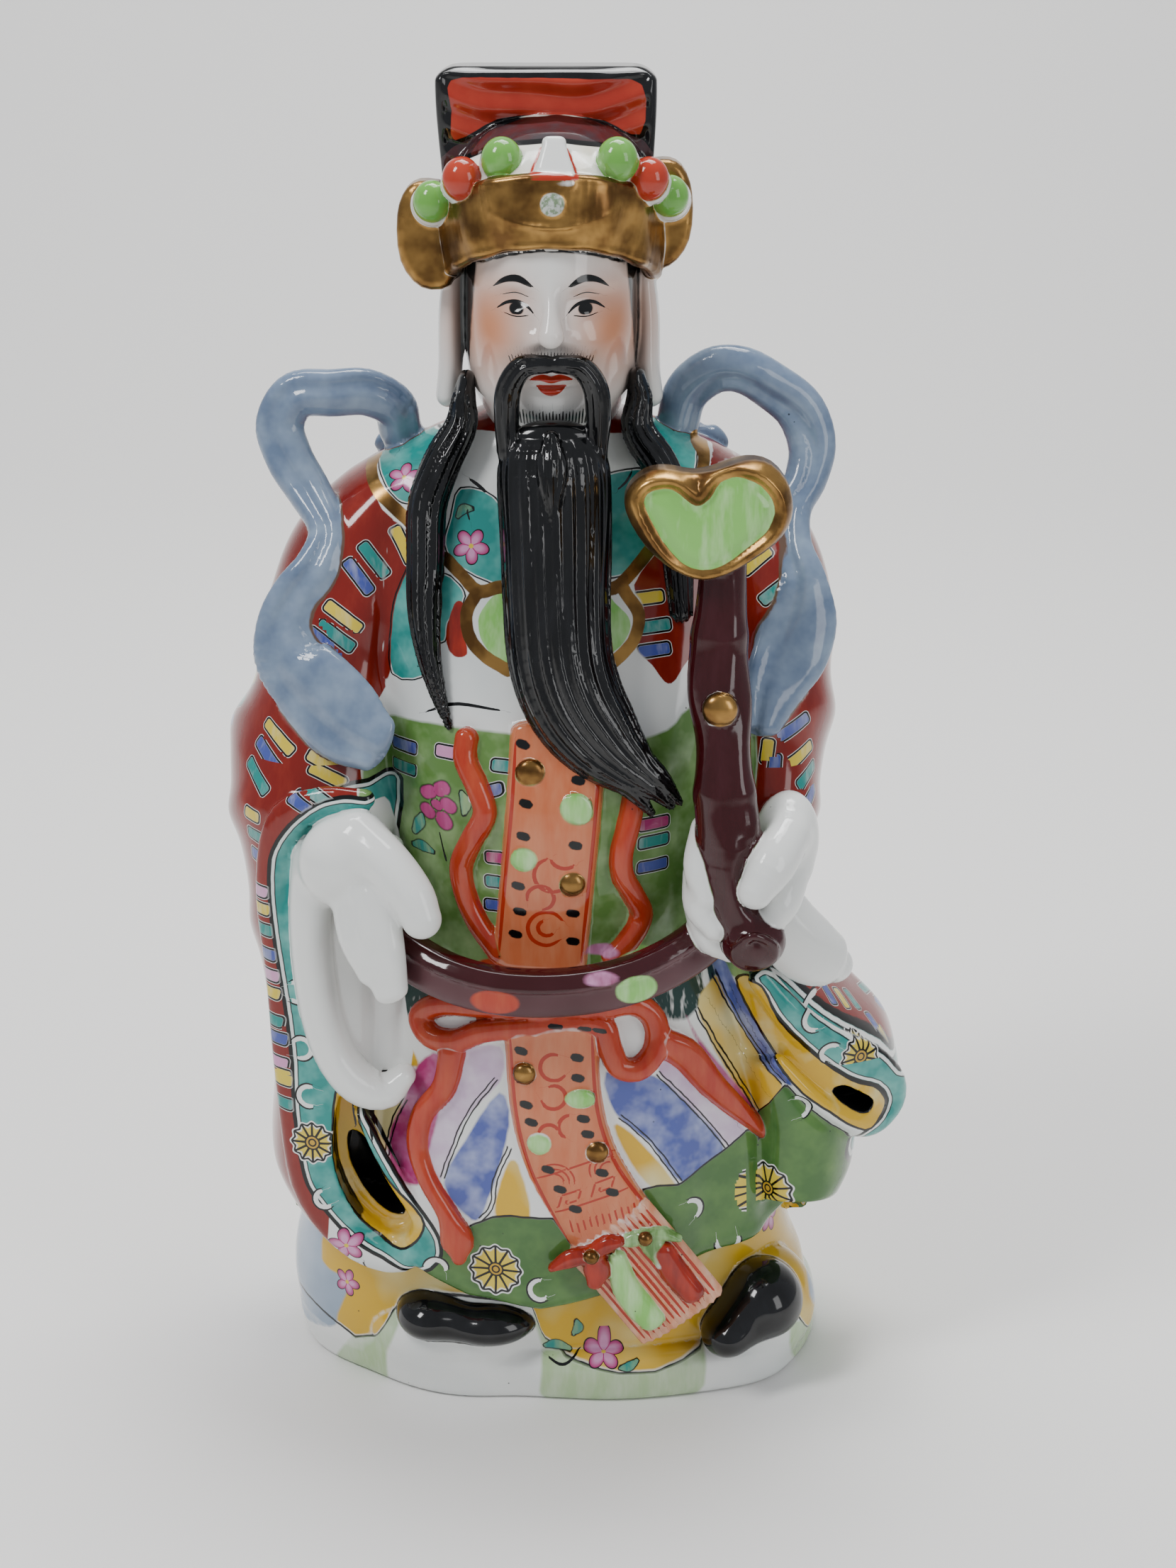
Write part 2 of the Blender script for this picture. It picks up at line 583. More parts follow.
def on_robe(rows, wide, thick, lift=0.0):
    """Stations on the front of the robe, with a width of their own where a row gives one."""
    return [[x, front_of(x, z) - lift, z, *(width or [wide]), thick] for x, z, *width in rows]


def mirrored(rows, middle):
    return [[2 * middle - row[0], *row[1:]] for row in rows]


def strands(count, depth):
    """Long combed grooves along a lock of hair."""

    def rise(run, u, v):
        wander = 0.6 * np.sin(7 * run + 2.2 * u)
        grooves = np.cos(count * u + wander) + 0.4 * np.cos(2.3 * count * u - 2 * wander)
        return depth * np.minimum(run / 0.08, 1) * grooves

    return rise


def scarf_rise(run, u, v):
    crease = -1.3 * bump(u, 0.25 + 0.2 * np.sin(9 * run), 0.28) * (v > 0)
    return crease + 0.5 * np.sin(26 * run + 2 * u)


def belt_rise(run, u, v):
    """A rounded roll along the top of a flat band."""
    return np.where(v > 0, 0.5 * bump(u, -0.45, 0.2) - 0.7 * smooth_step(-0.32, -0.18, u), 0)


def stem_rise(run, u, v):
    grain = 0.35 * np.cos(5 * u + 2.4 * np.sin(8 * run))
    return grain + 0.5 * bump(run, 0.22, 0.03) + 0.6 * bump(run, 0.62, 0.03)


def plinth_rise(p, angle):
    """The waves of the base's outline."""
    return 3 * bump(angle, 0.8, 0.25) - 4.5 * bump(angle, -0.85, 0.35) - 2.5 * bump(angle, -0.1, 0.16)


def tier_rise(p, angle):
    """The hat's front panel: sunk a little in its rim, with soft waves across."""
    across = np.abs(p[:, 0] + 3.3)
    panel = smooth_step(30, 27.6, across) * smooth_step(374, 379, p[:, 2])
    panel = panel * smooth_step(398.5, 396.6, p[:, 2])
    wave = 0.8 * np.sin(0.75 * (p[:, 2] - 0.006 * (p[:, 0] + 3) ** 2) + 0.5 * np.sin(0.2 * p[:, 0]))
    return np.where(p[:, 1] < 0, panel * (wave - 1.0), 0)


def band_rise(run, u, v):
    """Folds of the gold band, and the curved crease under its jewel."""
    folds = 0.35 * np.sin(52 * run + 1.5 * v) + 0.3 * np.sin(23 * run - 2.2 * v)
    near = bump(run, 0.5, 0.085)
    smile = 0.9 * bump(v, -0.42 + 26 * (run - 0.5) ** 2, 0.1) * near
    lip = 0.6 * bump(np.abs(v), 0.95, 0.14)
    return np.where(u > 0, folds * (1 - 0.7 * near) + smile + lip, 0)


def panel_rise(run, u, v):
    return np.where(v > 0, 0.3 * np.sin(34 * u), 0)


BAND_FOOT = 350.5
BAND_ARCH = 13.5
BAND_HALF_WIDTH = 29
BAND_HALF_HEIGHT = 10


def ring_band():
    """The arched gold band of the hat."""
    stations = []
    for i in range(13):
        angle = math.radians(100 * (-1 + i / 6))
        middle = math.cos(angle)
        x = FACE_X + BAND_HALF_WIDTH * math.sin(angle)
        z = BAND_FOOT + BAND_ARCH * max(middle, 0)
        stations.append([x, -8 - 31 * middle, z, 3.4, BAND_HALF_HEIGHT])
    return stroke(stations, facing=(0.0, 0.0, 1.0), power=3.0, rise=band_rise)


# Features of the face as soft swellings: offset from the middle, height, lift, spread across and up
FACE_SWELLINGS = [
    [9.6, 338.5, -2.4, 6.5, 4.2], [10, 336.6, 1.9, 4.4, 2.5], [10, 343.6, 0.7, 7, 2.2],
    [14.5, 327, 1.6, 7, 7], [4.4, 328.6, 1.6, 2.4, 2.4], [0, 306, 1.5, 8, 5], [0, 347, 0.8, 12, 6],
]
LIPS = [[0, 317.4, 1.5, 4.6, 1.1], [0, 314.2, 1.9, 3.8, 1.3], [0, 315.8, -0.9, 6, 0.6]]


def face_rise(p, angle):
    across = np.abs(p[:, 0] - FACE_X)
    total = 0
    for offset, height, lift, wide, tall in FACE_SWELLINGS + LIPS:
        total = total + lift * bump(across, offset, wide) * bump(p[:, 2], height, tall)
    return np.where(p[:, 1] < 0, total, 0)


def relief_plate(outline, inner, front, back, bevel):
    """A plate whose rim rolls up round a puffy inner field."""
    corners = smooth_loop(outline)
    field = smooth_loop(inner)

    def distance(p):
        flat = p[:, [0, 2]]
        h = outline_distance(field, flat)
        rim = 2.2 * bump(h, 2.6, 2.0)
        puff = 1.6 * (1 - np.exp(-((np.minimum(h, 0) / 2.4) ** 2)))
        face = front - rim - puff
        depth = np.maximum(face - p[:, 1], p[:, 1] - back)
        return rounded_slab(outline_distance(corners, flat), depth, bevel)

    low = [corners[:, 0].min(), front - 3, corners[:, 1].min()]
    high = [corners[:, 0].max(), back, corners[:, 1].max()]
    return Form(low, high, distance)


def clipped(form, height):
    """A form cut off below a height that depends on the place."""
    whole = form.distance

    def distance(p):
        return smooth_max(whole(p), height(p) - p[:, 2], 1.5)

    form.distance = distance
    return form


def tail_hem(p):
    return 66 - 0.3 * (p[:, 1] + 50)


JEWEL_FOOT = 372
JEWEL_TOP = 380
EARS_X = -2.7
EAR = [[27.8, -4, 342, 3, 6], [28.6, -4, 330, 3.6, 7], [28.8, -5, 316, 3.6, 7], [29.6, -6, 307, 3.6, 6]]


def ear(side):
    return stroke([[EARS_X + side * x, *rest] for x, *rest in EAR])


def body_groups():
    def cord(rows, wide=3.3):
        return stroke(on_robe(rows, wide, 3, 1.6))

    def sash(rows):
        return stroke(on_robe(rows, 13.5, 4), power=3.0)

    def trim(rows, depth, thick):
        return stroke([[x, depth, z, wide, thick] for x, z, wide in rows])

    panel = [[x, -61, z, 15.5, 2.4] for x, z in TASSEL_PANEL]
    ring = [[x, -78.8 + 0.5 * (162 - z), z, 1.2, 1.2] for x, z in KNOB_RING]
    return [
        Group("plinth", [loft(BASE, 3.0, plinth_rise), blob([-31, -35, 18.5], [30, 21.5, 18]),
                         blob([60, -28, 20.5], [21, 20, 20])], inner=3.0),
        Group("underskirt", [loft(UNDERSKIRT)]),
        Group("robe", [robe_form()]),
        Group("left_sleeve", [loft(LEFT_SLEEVE, 4.0, sleeve_rise)], join=3.0),
        Group("right_sleeve", [loft(RIGHT_SLEEVE, 4.0, sleeve_rise)], join=3.0),
        Group("tail", [clipped(loft(TAIL_OF_ROBE, 3.0), tail_hem)], join=3.0),
        Group("left_border", [stroke(LEFT_BORDER)], join=2.5),
        Group("right_border", [stroke(RIGHT_BORDER)], join=2.5),
        Group("scarf", [stroke(LEFT_LOOP, rise=scarf_rise), stroke(RIGHT_LOOP, rise=scarf_rise),
                        stroke(BACK_SWAG, BACK, rise=scarf_rise)], join=2.0),
        Group("upper_sash", [sash(UPPER_SASH)]),
        Group("lower_sash", [sash(LOWER_SASH)]),
        Group("cords", [cord(LEFT_CORD), cord(RIGHT_CORD)]),
        Group("bow", [cord(BOW_LEFT, 3.6), cord(BOW_RIGHT, 3.6)]),
        Group("ribbons", [cord(LEFT_RIBBON), cord(RIGHT_RIBBON)]),
        Group("belt", [stroke(BELT, power=3.0, rise=belt_rise)], join=0.8),
        Group("studs", [blob([x, front_of(x, z) - 3.6, z], [r, 2.2, r]) for x, z, r in STUDS], join=0.5),
        Group("green_drops", [blob([x, front_of(x, z) - 3.8, z], [w, 1.1, t]) for x, z, w, t in GREEN_DROPS],
              join=0.4),
        Group("tassel_panel", [stroke(panel, power=3.0, rise=panel_rise)]),
        Group("green_tassel", [trim(GREEN_TASSEL, -63.5, 2.4)], join=0.6),
        Group("red_tassel", [trim(RED_TASSEL, -63.5, 2.8)], join=0.6),
        Group("red_bow", [trim(rows, -64.5, 2.4) for rows in RED_BOW], inner=1.0, join=0.6),
        Group("leaf_bow", [trim(rows, -63.5, 2.2) for rows in LEAF_BOW], inner=1.0, join=0.6),
        Group("beads", [blob([x, -67, z], [2.3, 2.2, 2.3]) for x, z in BEADS], join=0.4),
        Group("hands", [blob([-61, -55, 180], [15, 13, 14], -30), blob([66, -55, 186], [9.5, 12, 15], 5),
                        stroke(LEFT_BAG, power=3.0), blob([46, -60, 172], [9, 9, 14]), stroke(LEFT_DROP),
                        stroke(RIGHT_DROP),
                        *(stroke(rows) for rows in LEFT_FINGERS + RIGHT_FINGERS)], inner=2.6, join=1.5),
        Group("sceptre_stem", [stroke(SCEPTRE_STEM, rise=stem_rise), stroke(ring, closed=True),
                               blob([56.5, -68, 188.6], [5.4, 4.5, 3.8], -10),
                               blob([56, -72, 161.6], [9.4, 8.6, 8.4])], inner=1.6),
        Group("sceptre_head", [relief_plate(SCEPTRE_HEAD, SCEPTRE_HEART, -64.5, -52, 3.5)]),
        Group("sceptre_stud", [blob([45.6, -66.6, 229.4], [5.1, 3, 4.8])], join=0.6),
        Group("shoes", [blob([-40.5, -49, 28.2], [10.4, 12.5, 7.8]), blob([-22, -50, 26], [14.5, 12, 7]),
                        blob([52.5, -49, 22], [9, 12, 7.6], -25), blob([63.5, -42, 29], [12.5, 15, 12], 20)],
              inner=7.0),
    ]


def body_hollows():
    return [
        Group("left_lining", [plate(LEFT_LINING, -72, -46, 1.5)]),
        Group("left_hollow", [plate(LEFT_HOLLOW, -60, -20, 1.0)]),
        Group("right_hollow", [plate(RIGHT_HOLLOW, -60, -22, 1.0)]),
    ]


def head_groups():
    pearl_radii = PEARL_RADII + PEARL_RADII[::-1]
    right_flap = [[x, z + 6] for x, z in mirrored(FLAP, FACE_X - 2)]
    nose = stroke([
        [FACE_X, -38.5, 342, 2.2, 2.5], [FACE_X, -41.5, 336, 2.4, 3], [FACE_X, -44.5, 330.4, 3.6, 3.4],
    ])
    bezels = [blob([x, y + 3.5, z - 1.5], [r + 0.6] * 3) for (x, y, z), r in zip(PEARLS, pearl_radii)]
    jewel_x = FACE_X + 1
    white_jewel = stroke([[jewel_x, -38, JEWEL_FOOT, 6, 3], [jewel_x, -33, JEWEL_TOP, 3.4, 3]], power=4)
    return [
        Group("face", [loft(HEAD, 3.0, face_rise), nose], inner=3.0),
        Group("ears", [ear(-1), ear(1)], join=2.0),
        Group("cap", [loft(CAP, 2.0)]),
        Group("hat_tier", [loft(HAT_TIER, 4.0, tier_rise)]),
        Group("hat_band", [ring_band()]),
        Group("flaps", [plate(FLAP, -17, -5, 2.5), plate(right_flap, -17, -5, 2.5)]),
        Group("bezels", bezels),
        Group("hat_jewel", [blob([FACE_X + 0.5, -41, 366], [3.4, 2.6, 3.4])]),
        Group("white_jewel", [white_jewel]),
        Group("pearls", [blob(c, [r, r, r + 0.5]) for c, r in zip(PEARLS, pearl_radii)], join=0.5),
    ]


def hair_groups():
    moustache = strands(8, 0.3)
    return [
        Group("beard", [stroke(BEARD, rise=strands(24, 0.35)), stroke(MOUSTACHE, rise=moustache),
                        stroke(mirrored(MOUSTACHE, FACE_X + 0.3), rise=moustache),
                        stroke(GOATEE, rise=moustache),
                        *(stroke(rows, rise=strands(6, 0.25)) for rows in BEARD_TIPS)], inner=1.2),
        Group("locks", [stroke(LEFT_LOCK, rise=strands(12, 0.3)), stroke(RIGHT_LOCK, rise=strands(12, 0.3))]),
    ]


# Surfaces
BLOCK = 4


class Sculpture:
    """Groups of forms joined in order, less the hollows, as one surface."""

    def __init__(self, groups, hollows=()):
        self.groups = groups
        self.hollows = hollows

    def at(self, points):
        d = np.full(len(points), FAR)
        for group in self.groups:
            d = smooth_min(d, group.at(points), group.join)
        for hollow in self.hollows:
            d = smooth_max(d, -hollow.at(points), hollow.join)
        return d

    def box(self):
        forms = [form for group in self.groups for form in group.forms]
        return np.min([f.low for f in forms], axis=0), np.max([f.high for f in forms], axis=0)

    def gradient(self, points, step=0.3):
        corners = np.array([[1, -1, -1], [-1, -1, 1], [-1, 1, -1], [1, 1, 1]], float)
        return sum(c * self.at(points + step * c)[:, None] for c in corners) / (4 * step)

    def surface(self, voxel):
        """Vertices and quads of the zero surface."""
        low, high = self.box()
        blocks = np.ceil((high - low) / (BLOCK * voxel)).astype(int)
        middle = (np.indices(blocks).reshape(3, -1).T + 0.5) * BLOCK * voxel + low
        rough = self.at(middle).reshape(blocks)
        near = np.argwhere(np.abs(rough) < (0.87 * BLOCK + 1.5) * voxel)
        field = np.where(rough > 0, 1.0, -1.0).astype(np.float32) * 3 * voxel
        for axis in range(3):
            field = np.repeat(field, BLOCK, axis=axis)
        offsets = np.indices((BLOCK,) * 3).reshape(3, -1).T
        cells = (near[:, None, :] * BLOCK + offsets[None]).reshape(-1, 3)
        field[tuple(cells.T)] = self.at((cells + 0.5) * voxel + low)
        grid = openvdb.FloatGrid(3 * voxel)
        grid.copyFromArray(field, tolerance=0.0)
        points, quads = grid.convertToQuads(isovalue=0.0)
        points = (points + 0.5) * voxel + low
        slope = self.gradient(points)
        pull = self.at(points) / np.maximum((slope**2).sum(1), 0.2)
        points = points - np.clip(pull, -0.6 * voxel, 0.6 * voxel)[:, None] * slope
        return points, quads


# Meshes
BODY_VOXEL = 1.1
HEAD_VOXEL = 0.7
HAIR_VOXEL = 0.65
HIP_CUT = 110
CHEST_CUT = 205


def mesh_of(name, points, quads):
    mesh = bpy.data.meshes.new(name)
    mesh.vertices.add(len(points))
    mesh.vertices.foreach_set("co", (points * MM).astype(np.float32).ravel())
    mesh.loops.add(quads.size)
    mesh.loops.foreach_set("vertex_index", quads.astype(np.int32).ravel())
    mesh.polygons.add(len(quads))
    mesh.polygons.foreach_set("loop_start", np.arange(0, quads.size, 4, dtype=np.int32))
    mesh.update(calc_edges=True)
    return mesh


def slab(mesh, name, low, high):
    """The part of a closed mesh between two heights, closed again where it is cut."""
    made = bmesh.new()
    made.from_mesh(mesh)
    for height, up in ((low, -1.0), (high, 1.0)):
        if height is None:
            continue
        everything = made.verts[:] + made.edges[:] + made.faces[:]
        cut = bmesh.ops.bisect_plane(
            made, geom=everything, plane_co=(0, 0, height * MM), plane_no=(0, 0, up), clear_outer=True
        )
        rim = [e for e in cut["geom_cut"] if isinstance(e, bmesh.types.BMEdge)]
        bmesh.ops.holes_fill(made, edges=rim, sides=0)
    part = bpy.data.meshes.new(name)
    made.to_mesh(part)
    made.free()
    return part


def places_of(mesh):
    places = np.empty(len(mesh.vertices) * 3, np.float32)
    mesh.vertices.foreach_get("co", places)
    return places.reshape(-1, 3) / MM


def piece(name, mesh, sculpture, material):
    """A finished piece of the figure that rides with the solid and stands for it."""
    slopes = unit(sculpture.gradient(places_of(mesh)))
    mesh.shade_smooth()
    mesh.normals_split_custom_set_from_vertices(slopes.tolist())
    mesh.materials.append(material)
    obj = bpy.data.objects.new(name, mesh)
    bpy.context.scene.collection.objects.link(obj)
    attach(obj, "root")
    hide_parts(NODE)
    return obj


# Painted areas on the front, as outlines of x and z
FRONT_PANEL = [
    [-52, 297], [-56.5, 289], [-51, 276.5], [-43, 270], [-42.2, 263], [-45.8, 254.6], [-48, 240],
    [-50.5, 226], [-57, 217], [-58, 200], [-53, 186], [-60, 150], [-60, 20], [90, 20], [90, 100],
    [56, 143], [58, 206], [54.5, 227], [45, 238], [38, 236], [32.3, 229.4], [27, 235.5], [22.4, 241],
    [24.8, 251], [21.8, 257.5], [30, 268], [36, 276], [43, 286], [42, 296],
]
YOKE_LEFT = [
    [-53, 288.8], [-49, 294], [-40.5, 296], [-32, 296], [-31, 289.1], [-37, 281], [-41.1, 279],
    [-46.5, 279.5],
]
YOKE_RIGHT = [[26, 300], [32.7, 300.7], [39.1, 295.6], [40, 291], [38, 284], [31, 279], [25, 284]]
CHEST_TURQUOISE_LEFT = [
    [-28.1, 283], [-18.4, 280.8], [-14, 271], [-14, 258.5], [-22.7, 260], [-29.8, 263.9], [-32.4, 268.3],
    [-30.6, 275.6],
]
CHEST_TURQUOISE_RIGHT = [
    [13, 285], [21, 288], [26, 287], [27, 279], [26, 270], [22, 263], [16.5, 260.2], [12, 262],
]
COLLAR_EDGES = [
    [[-53.5, 290.5], [-55.2, 286.7], [-52.8, 282], [-47.8, 277.3], [-42.4, 272.8]],
    [[-32.5, 264.5], [-27.3, 259.6], [-22.9, 255.8], [-17.5, 257], [-12, 258]],
    [[-23.4, 255.4], [-26.4, 249.6], [-25.4, 243], [-21, 238.2], [-14.5, 234.6]],
    [[40.5, 294], [42.6, 290.3], [40.5, 284], [35, 278.5]],
    [[11, 257.6], [15.7, 256.7], [20, 259.8], [27, 267.5]],
    [[19.3, 255.6], [23.2, 249.6], [22.2, 243.4], [18.3, 238.6], [12.5, 234.5]],
]
MEDALLION_LEFT = [
    [-22, 250.6], [-17, 256], [-12, 255], [-12, 236], [-17, 236.5], [-21.4, 241.5], [-23, 246.4],
]
MEDALLION_RIGHT = [[13, 256], [16, 253.2], [20.7, 248.1], [19.4, 242.6], [14, 238.6], [10, 240]]
STRIP_OUTER = [
    [-41, 264], [-46.8, 252.9], [-48.4, 243.9], [-48.4, 230.3], [-39.3, 231.6], [-38, 240], [-38, 255],
]
STRIP_INNER = [[-34, 260], [-27.1, 254.7], [-32.2, 247], [-33, 242], [-37, 241.9], [-38, 250]]
RED_DROP = [[-29.8, 252.3], [-27.3, 252.5], [-27.8, 246.3], [-26.2, 238.4], [-30.7, 238], [-32.4, 243.4]]
BELLY = [
    [-60, 140], [-58, 190], [-57, 207], [-54, 214], [-48, 217.8], [-13.4, 217.6], [13, 214.5], [31.6, 216.8],
    [38, 222], [56, 222], [58, 190], [58, 138],
]
LEFT_HEM = [
    [-46, 199.5], [-55.7, 199.3], [-62.1, 199.5], [-70.1, 197], [-78.4, 189.8], [-83.8, 181.4],
    [-85.4, 172.7], [-85.1, 159], [-83.5, 144.5], [-81.6, 129.1], [-80.4, 114.6], [-80.1, 97.1],
    [-77.6, 77], [-72.8, 67.6], [-63.8, 56.8], [-54, 50], [-45.7, 45], [-36.8, 50], [-36.2, 57.5],
    [-39.5, 64], [-46, 74], [-56, 95], [-60, 108], [-56, 130], [-50, 170],
]
LEFT_CUFF = [
    [-50, 191], [-55.7, 193], [-64.8, 190], [-72.8, 183], [-78, 170], [-78.4, 155.5], [-75.5, 137],
    [-72, 120], [-68, 109], [-58, 104], [-48, 106], [-44, 116], [-47, 135], [-46, 160],
]
LEFT_YELLOW = [
    [-64, 109], [-67.2, 105.5], [-68.5, 93], [-67.9, 79.3], [-62.6, 65.3], [-55.8, 57], [-49, 53],
    [-43.6, 56.6], [-41, 63], [-45, 69.8], [-51.6, 78], [-57.7, 89.5], [-60.1, 100], [-60.5, 108],
]
RIGHT_HEM = [
    [57, 141], [61, 135.5], [65.8, 127.1], [77.8, 113.6], [88.8, 104.7], [96.8, 100], [100.5, 93.7],
    [99, 89.3], [93, 86.5], [88, 78], [94, 68], [112, 68], [113, 96], [104.8, 103.6], [99.1, 111.2],
    [86.2, 121.3], [77.5, 128.7], [70, 137], [62, 144],
]
RIGHT_YELLOW = [
    [53.5, 134], [55, 139.5], [60.5, 138.5], [65.8, 127.1], [77.8, 113.6], [88.8, 104.7], [96.8, 100],
    [100.5, 93.7], [99, 89.3], [93.3, 86.8], [81.6, 96.4], [69.5, 107.4],
]
STRIPES = [
    ["yellow", [-53.3, 129.3], [-44.7, 117.5], [-42.4, 111.8], [-52, 114], [-58, 124]],
    ["yellow", [-55.5, 105.4], [-47.5, 101.5], [-51.9, 87.2], [-59, 97]],
    ["magenta", [-36, 117], [-42.5, 112.5], [-47, 100.4], [-51.9, 88], [-47, 76.4], [-42, 76], [-36, 96]],
    ["lilac", [-30, 118], [-17.4, 121.5], [-17.4, 110.8], [-28.7, 97.2], [-35.6, 78], [-41, 78], [-38, 92]],
    ["blue", [-17.7, 107], [-15, 96.3], [-22.8, 68.1], [-26.6, 64.4], [-35, 76.5], [-28, 91.2]],
    ["yellow", [-15.5, 84], [-12.4, 84], [-9, 66], [-19.6, 66.2]],
    ["yellow", [16.4, 96], [21.7, 93], [35, 76.2], [29, 74.6], [21.7, 83]],
    ["blue", [14, 113.5], [29, 111], [41.2, 97.4], [50, 83.6], [37, 76.5], [27.8, 89.4], [17, 99.6]],
    ["lilac", [31, 121], [42, 108], [57, 87.8], [51, 84.6], [30, 111.8]],
    ["magenta", [38, 128], [42, 120], [60.3, 93], [57, 91], [45, 111]],
    ["yellow", [47.5, 136], [41.5, 128.1], [60.3, 93.4], [67.3, 105], [57, 117.3], [51, 127.9]],
    ["blue", [44, 148], [52.6, 136.1], [69.8, 107.4], [67.6, 105.8], [58.6, 114.8], [49.6, 130.6]],
]
STRIPE_LINES = [
    [[-46.8, 101], [-50, 94], [-52.3, 86]],
    [[-19, 111], [-28.4, 97.5], [-35.4, 78.8]],
    [[-15.2, 89], [-19.4, 78.2], [-21, 68.3], [-24, 64.9]],
    [[18.2, 98.6], [27.4, 89.8], [36.4, 76.6]],
    [[29.4, 112], [40, 99.4], [50.6, 84.4]],
    [[41, 128.6], [50, 112], [60.4, 93.2]],
    [[46.6, 137], [51, 127.6], [58.4, 116], [67.4, 105.6]],
    [[53.8, 134.4], [62, 119.6], [69.8, 107.8]],
]
RIGHT_STRIP = [[80, 128], [84, 131], [94, 124], [104, 112], [108, 102], [104, 102], [97, 112], [86, 121]]
BELT_ROLL_X = [-50, -33, -5, 24, 47]
BELT_ROLL_Z = [157, 150.8, 147.6, 151.2, 161]
BELT_OVALS = {
    "belt_red": [-18.2, 144.4, 7, 3.8],
    "belt_green": [22.5, 147.4, 6, 4.4],
    "belt_pink": [12.6, 151.6, 5, 1.8],
}
BRUSH_PATCHES = [
    [[-58, 135], [-50, 145], [-30, 139], [-36, 129], [-43, 122], [-52.6, 130]],
    [[22, 132], [46, 146], [47, 136], [38.5, 127], [30.8, 128.6]],
]
HEM_TOP_X = [
    -60, -48, -36, -25.6, -19.7, -14.8, -4.9, 5, 17, 29.9, 36.5, 48.3, 56.6, 60.7, 66, 70, 76, 84, 95,
    110,
]
HEM_TOP_Z = [
    62, 58, 58, 62.9, 65.7, 66.7, 66.4, 67, 72, 75.7, 75.5, 82, 87.8, 93.1, 102.6, 107, 101, 94, 86, 80,
]
SKIRT_EDGE_X = [
    -90, -80, -70, -65, -58.5, -53.8, -48.4, -43, -30, -9, -7.4, -5.3, 1.5, 10.7, 18.7, 29.6, 38.1, 43.9,
    50, 60, 70, 78.6, 90,
]
SKIRT_EDGE_Z = [
    22, 20, 16, 13.2, 16.4, 24.7, 33.8, 36.4, 36, 34, 28.2, 21.4, 15.9, 13.3, 11.5, 11.4, 14, 16.3, 26,
    38, 33, 15, 17,
]
SKIRT_EDGE_BACK = 17.0
BEHIND = 100.0
SKIRT_BLUE = [
    [[-100, 72], [-74, 68], [-73.5, 54.7], [-75.5, 36], [-67, 33], [-70.5, 20.1], [-74, 12], [-100, 8]],
    [[71, 62], [77, 40], [81, 20], [100, 10], [100, 66]],
]
PLINTH_GREEN = [
    [[-66, 12.6], [-53.8, 26.5], [-48, 36], [-49, 28], [-54.6, 12], [-56, -2], [-72, -2]],
    [[-8, 30], [-5.6, 17], [-3.4, -2], [41, -2], [44, 18], [30, 14], [8, 16]],
    [[72, 20], [80, 17], [86, -2], [76, -2]],
]


# Enamel bars on the front: tilt in degrees, half length, their colours and where each one is
YELLOW_BAR, AQUA_BAR, BLUE_BAR, PINK_BAR, MAGENTA_BAR = range(5)
TRIO = [YELLOW_BAR, AQUA_BAR, BLUE_BAR]
BARS = [
    [-55, 5.6, TRIO, [[-46.7, 268], [-52.5, 263.6], [-58, 259.8]]],
    [-38, 6, TRIO, [[-61.8, 249], [-65, 243.5], [-69.3, 238.4]]],
    [-34, 6.4, [YELLOW_BAR, BLUE_BAR, AQUA_BAR], [[-83.3, 213.5], [-87.2, 207], [-90.5, 200.5]]],
    [-30, 5.6, TRIO, [[-66.9, 204], [-70.5, 199.6], [-74.5, 196.2]]],
    [0, 5.2, [BLUE_BAR, AQUA_BAR, PINK_BAR], [[-46.8, 211], [-47.5, 203], [-48.9, 194]]],
    [0, 4.4, [PINK_BAR], [[-33.4, 210.7]]],
    [0, 2.8, [AQUA_BAR, BLUE_BAR], [[-17.5, 209.5], [-17.9, 202.7]]],
    [0, 2.6, [MAGENTA_BAR, AQUA_BAR, BLUE_BAR], [[-19.6, 179.7], [-20.2, 172.5], [-20.4, 165]]],
    [0, 4.9, [MAGENTA_BAR, AQUA_BAR, BLUE_BAR], [[29.4, 191], [29.3, 183.6], [28.9, 175.8]]],
    [4, 4.6, TRIO, [[26.6, 255.5], [28, 248], [28, 241.4]]],
    [40, 5, TRIO[:2], [[58, 264], [62.4, 256]]],
    [28, 5.4, TRIO, [[65.6, 230], [67, 223.5], [70, 216.6]]],
    [24, 5.2, TRIO, [[72.3, 209], [74.4, 202], [75.4, 195]]],
    [84, 3.4, [YELLOW_BAR, BLUE_BAR], [[59.6, 211], [64, 207]]],
    [62, 3.6, [BLUE_BAR, YELLOW_BAR, AQUA_BAR], [[84, 127.5], [88, 124.6], [92, 121.6]]],
    [62, 3.2, [BLUE_BAR, YELLOW_BAR], [[98, 115.4], [101.6, 110]]],
]
BAR_HALF_HEIGHT = 1.5

# Bars down the outer edge of the left sleeve
EDGE_BARS = 14
EDGE_BAR_TOP = 188
EDGE_BAR_STEP = 6.6

# Bars in threes over the sides and the back: side, tilt, rows of heights and the place across at each
SIDE_BARS = [
    ["left", 24, [[255, 2], [222, -8], [222, 14], [190, -14], [190, 10], [158, -8], [158, 16], [126, 2],
                  [98, -10], [98, 14]]],
    ["right", -24, [[255, 2], [222, -8], [222, 14], [190, -10], [190, 14], [158, -2], [158, 18], [124, 2],
                    [100, -14], [100, 10]]],
    ["back", 0, [[228, -44], [214, 0], [228, 40], [186, -60], [178, -22], [178, 20], [186, 58], [140, -48],
                 [132, 0], [140, 46], [96, -62], [92, -22], [92, 22], [96, 62]]],
]
BAR_ROW = 7.0

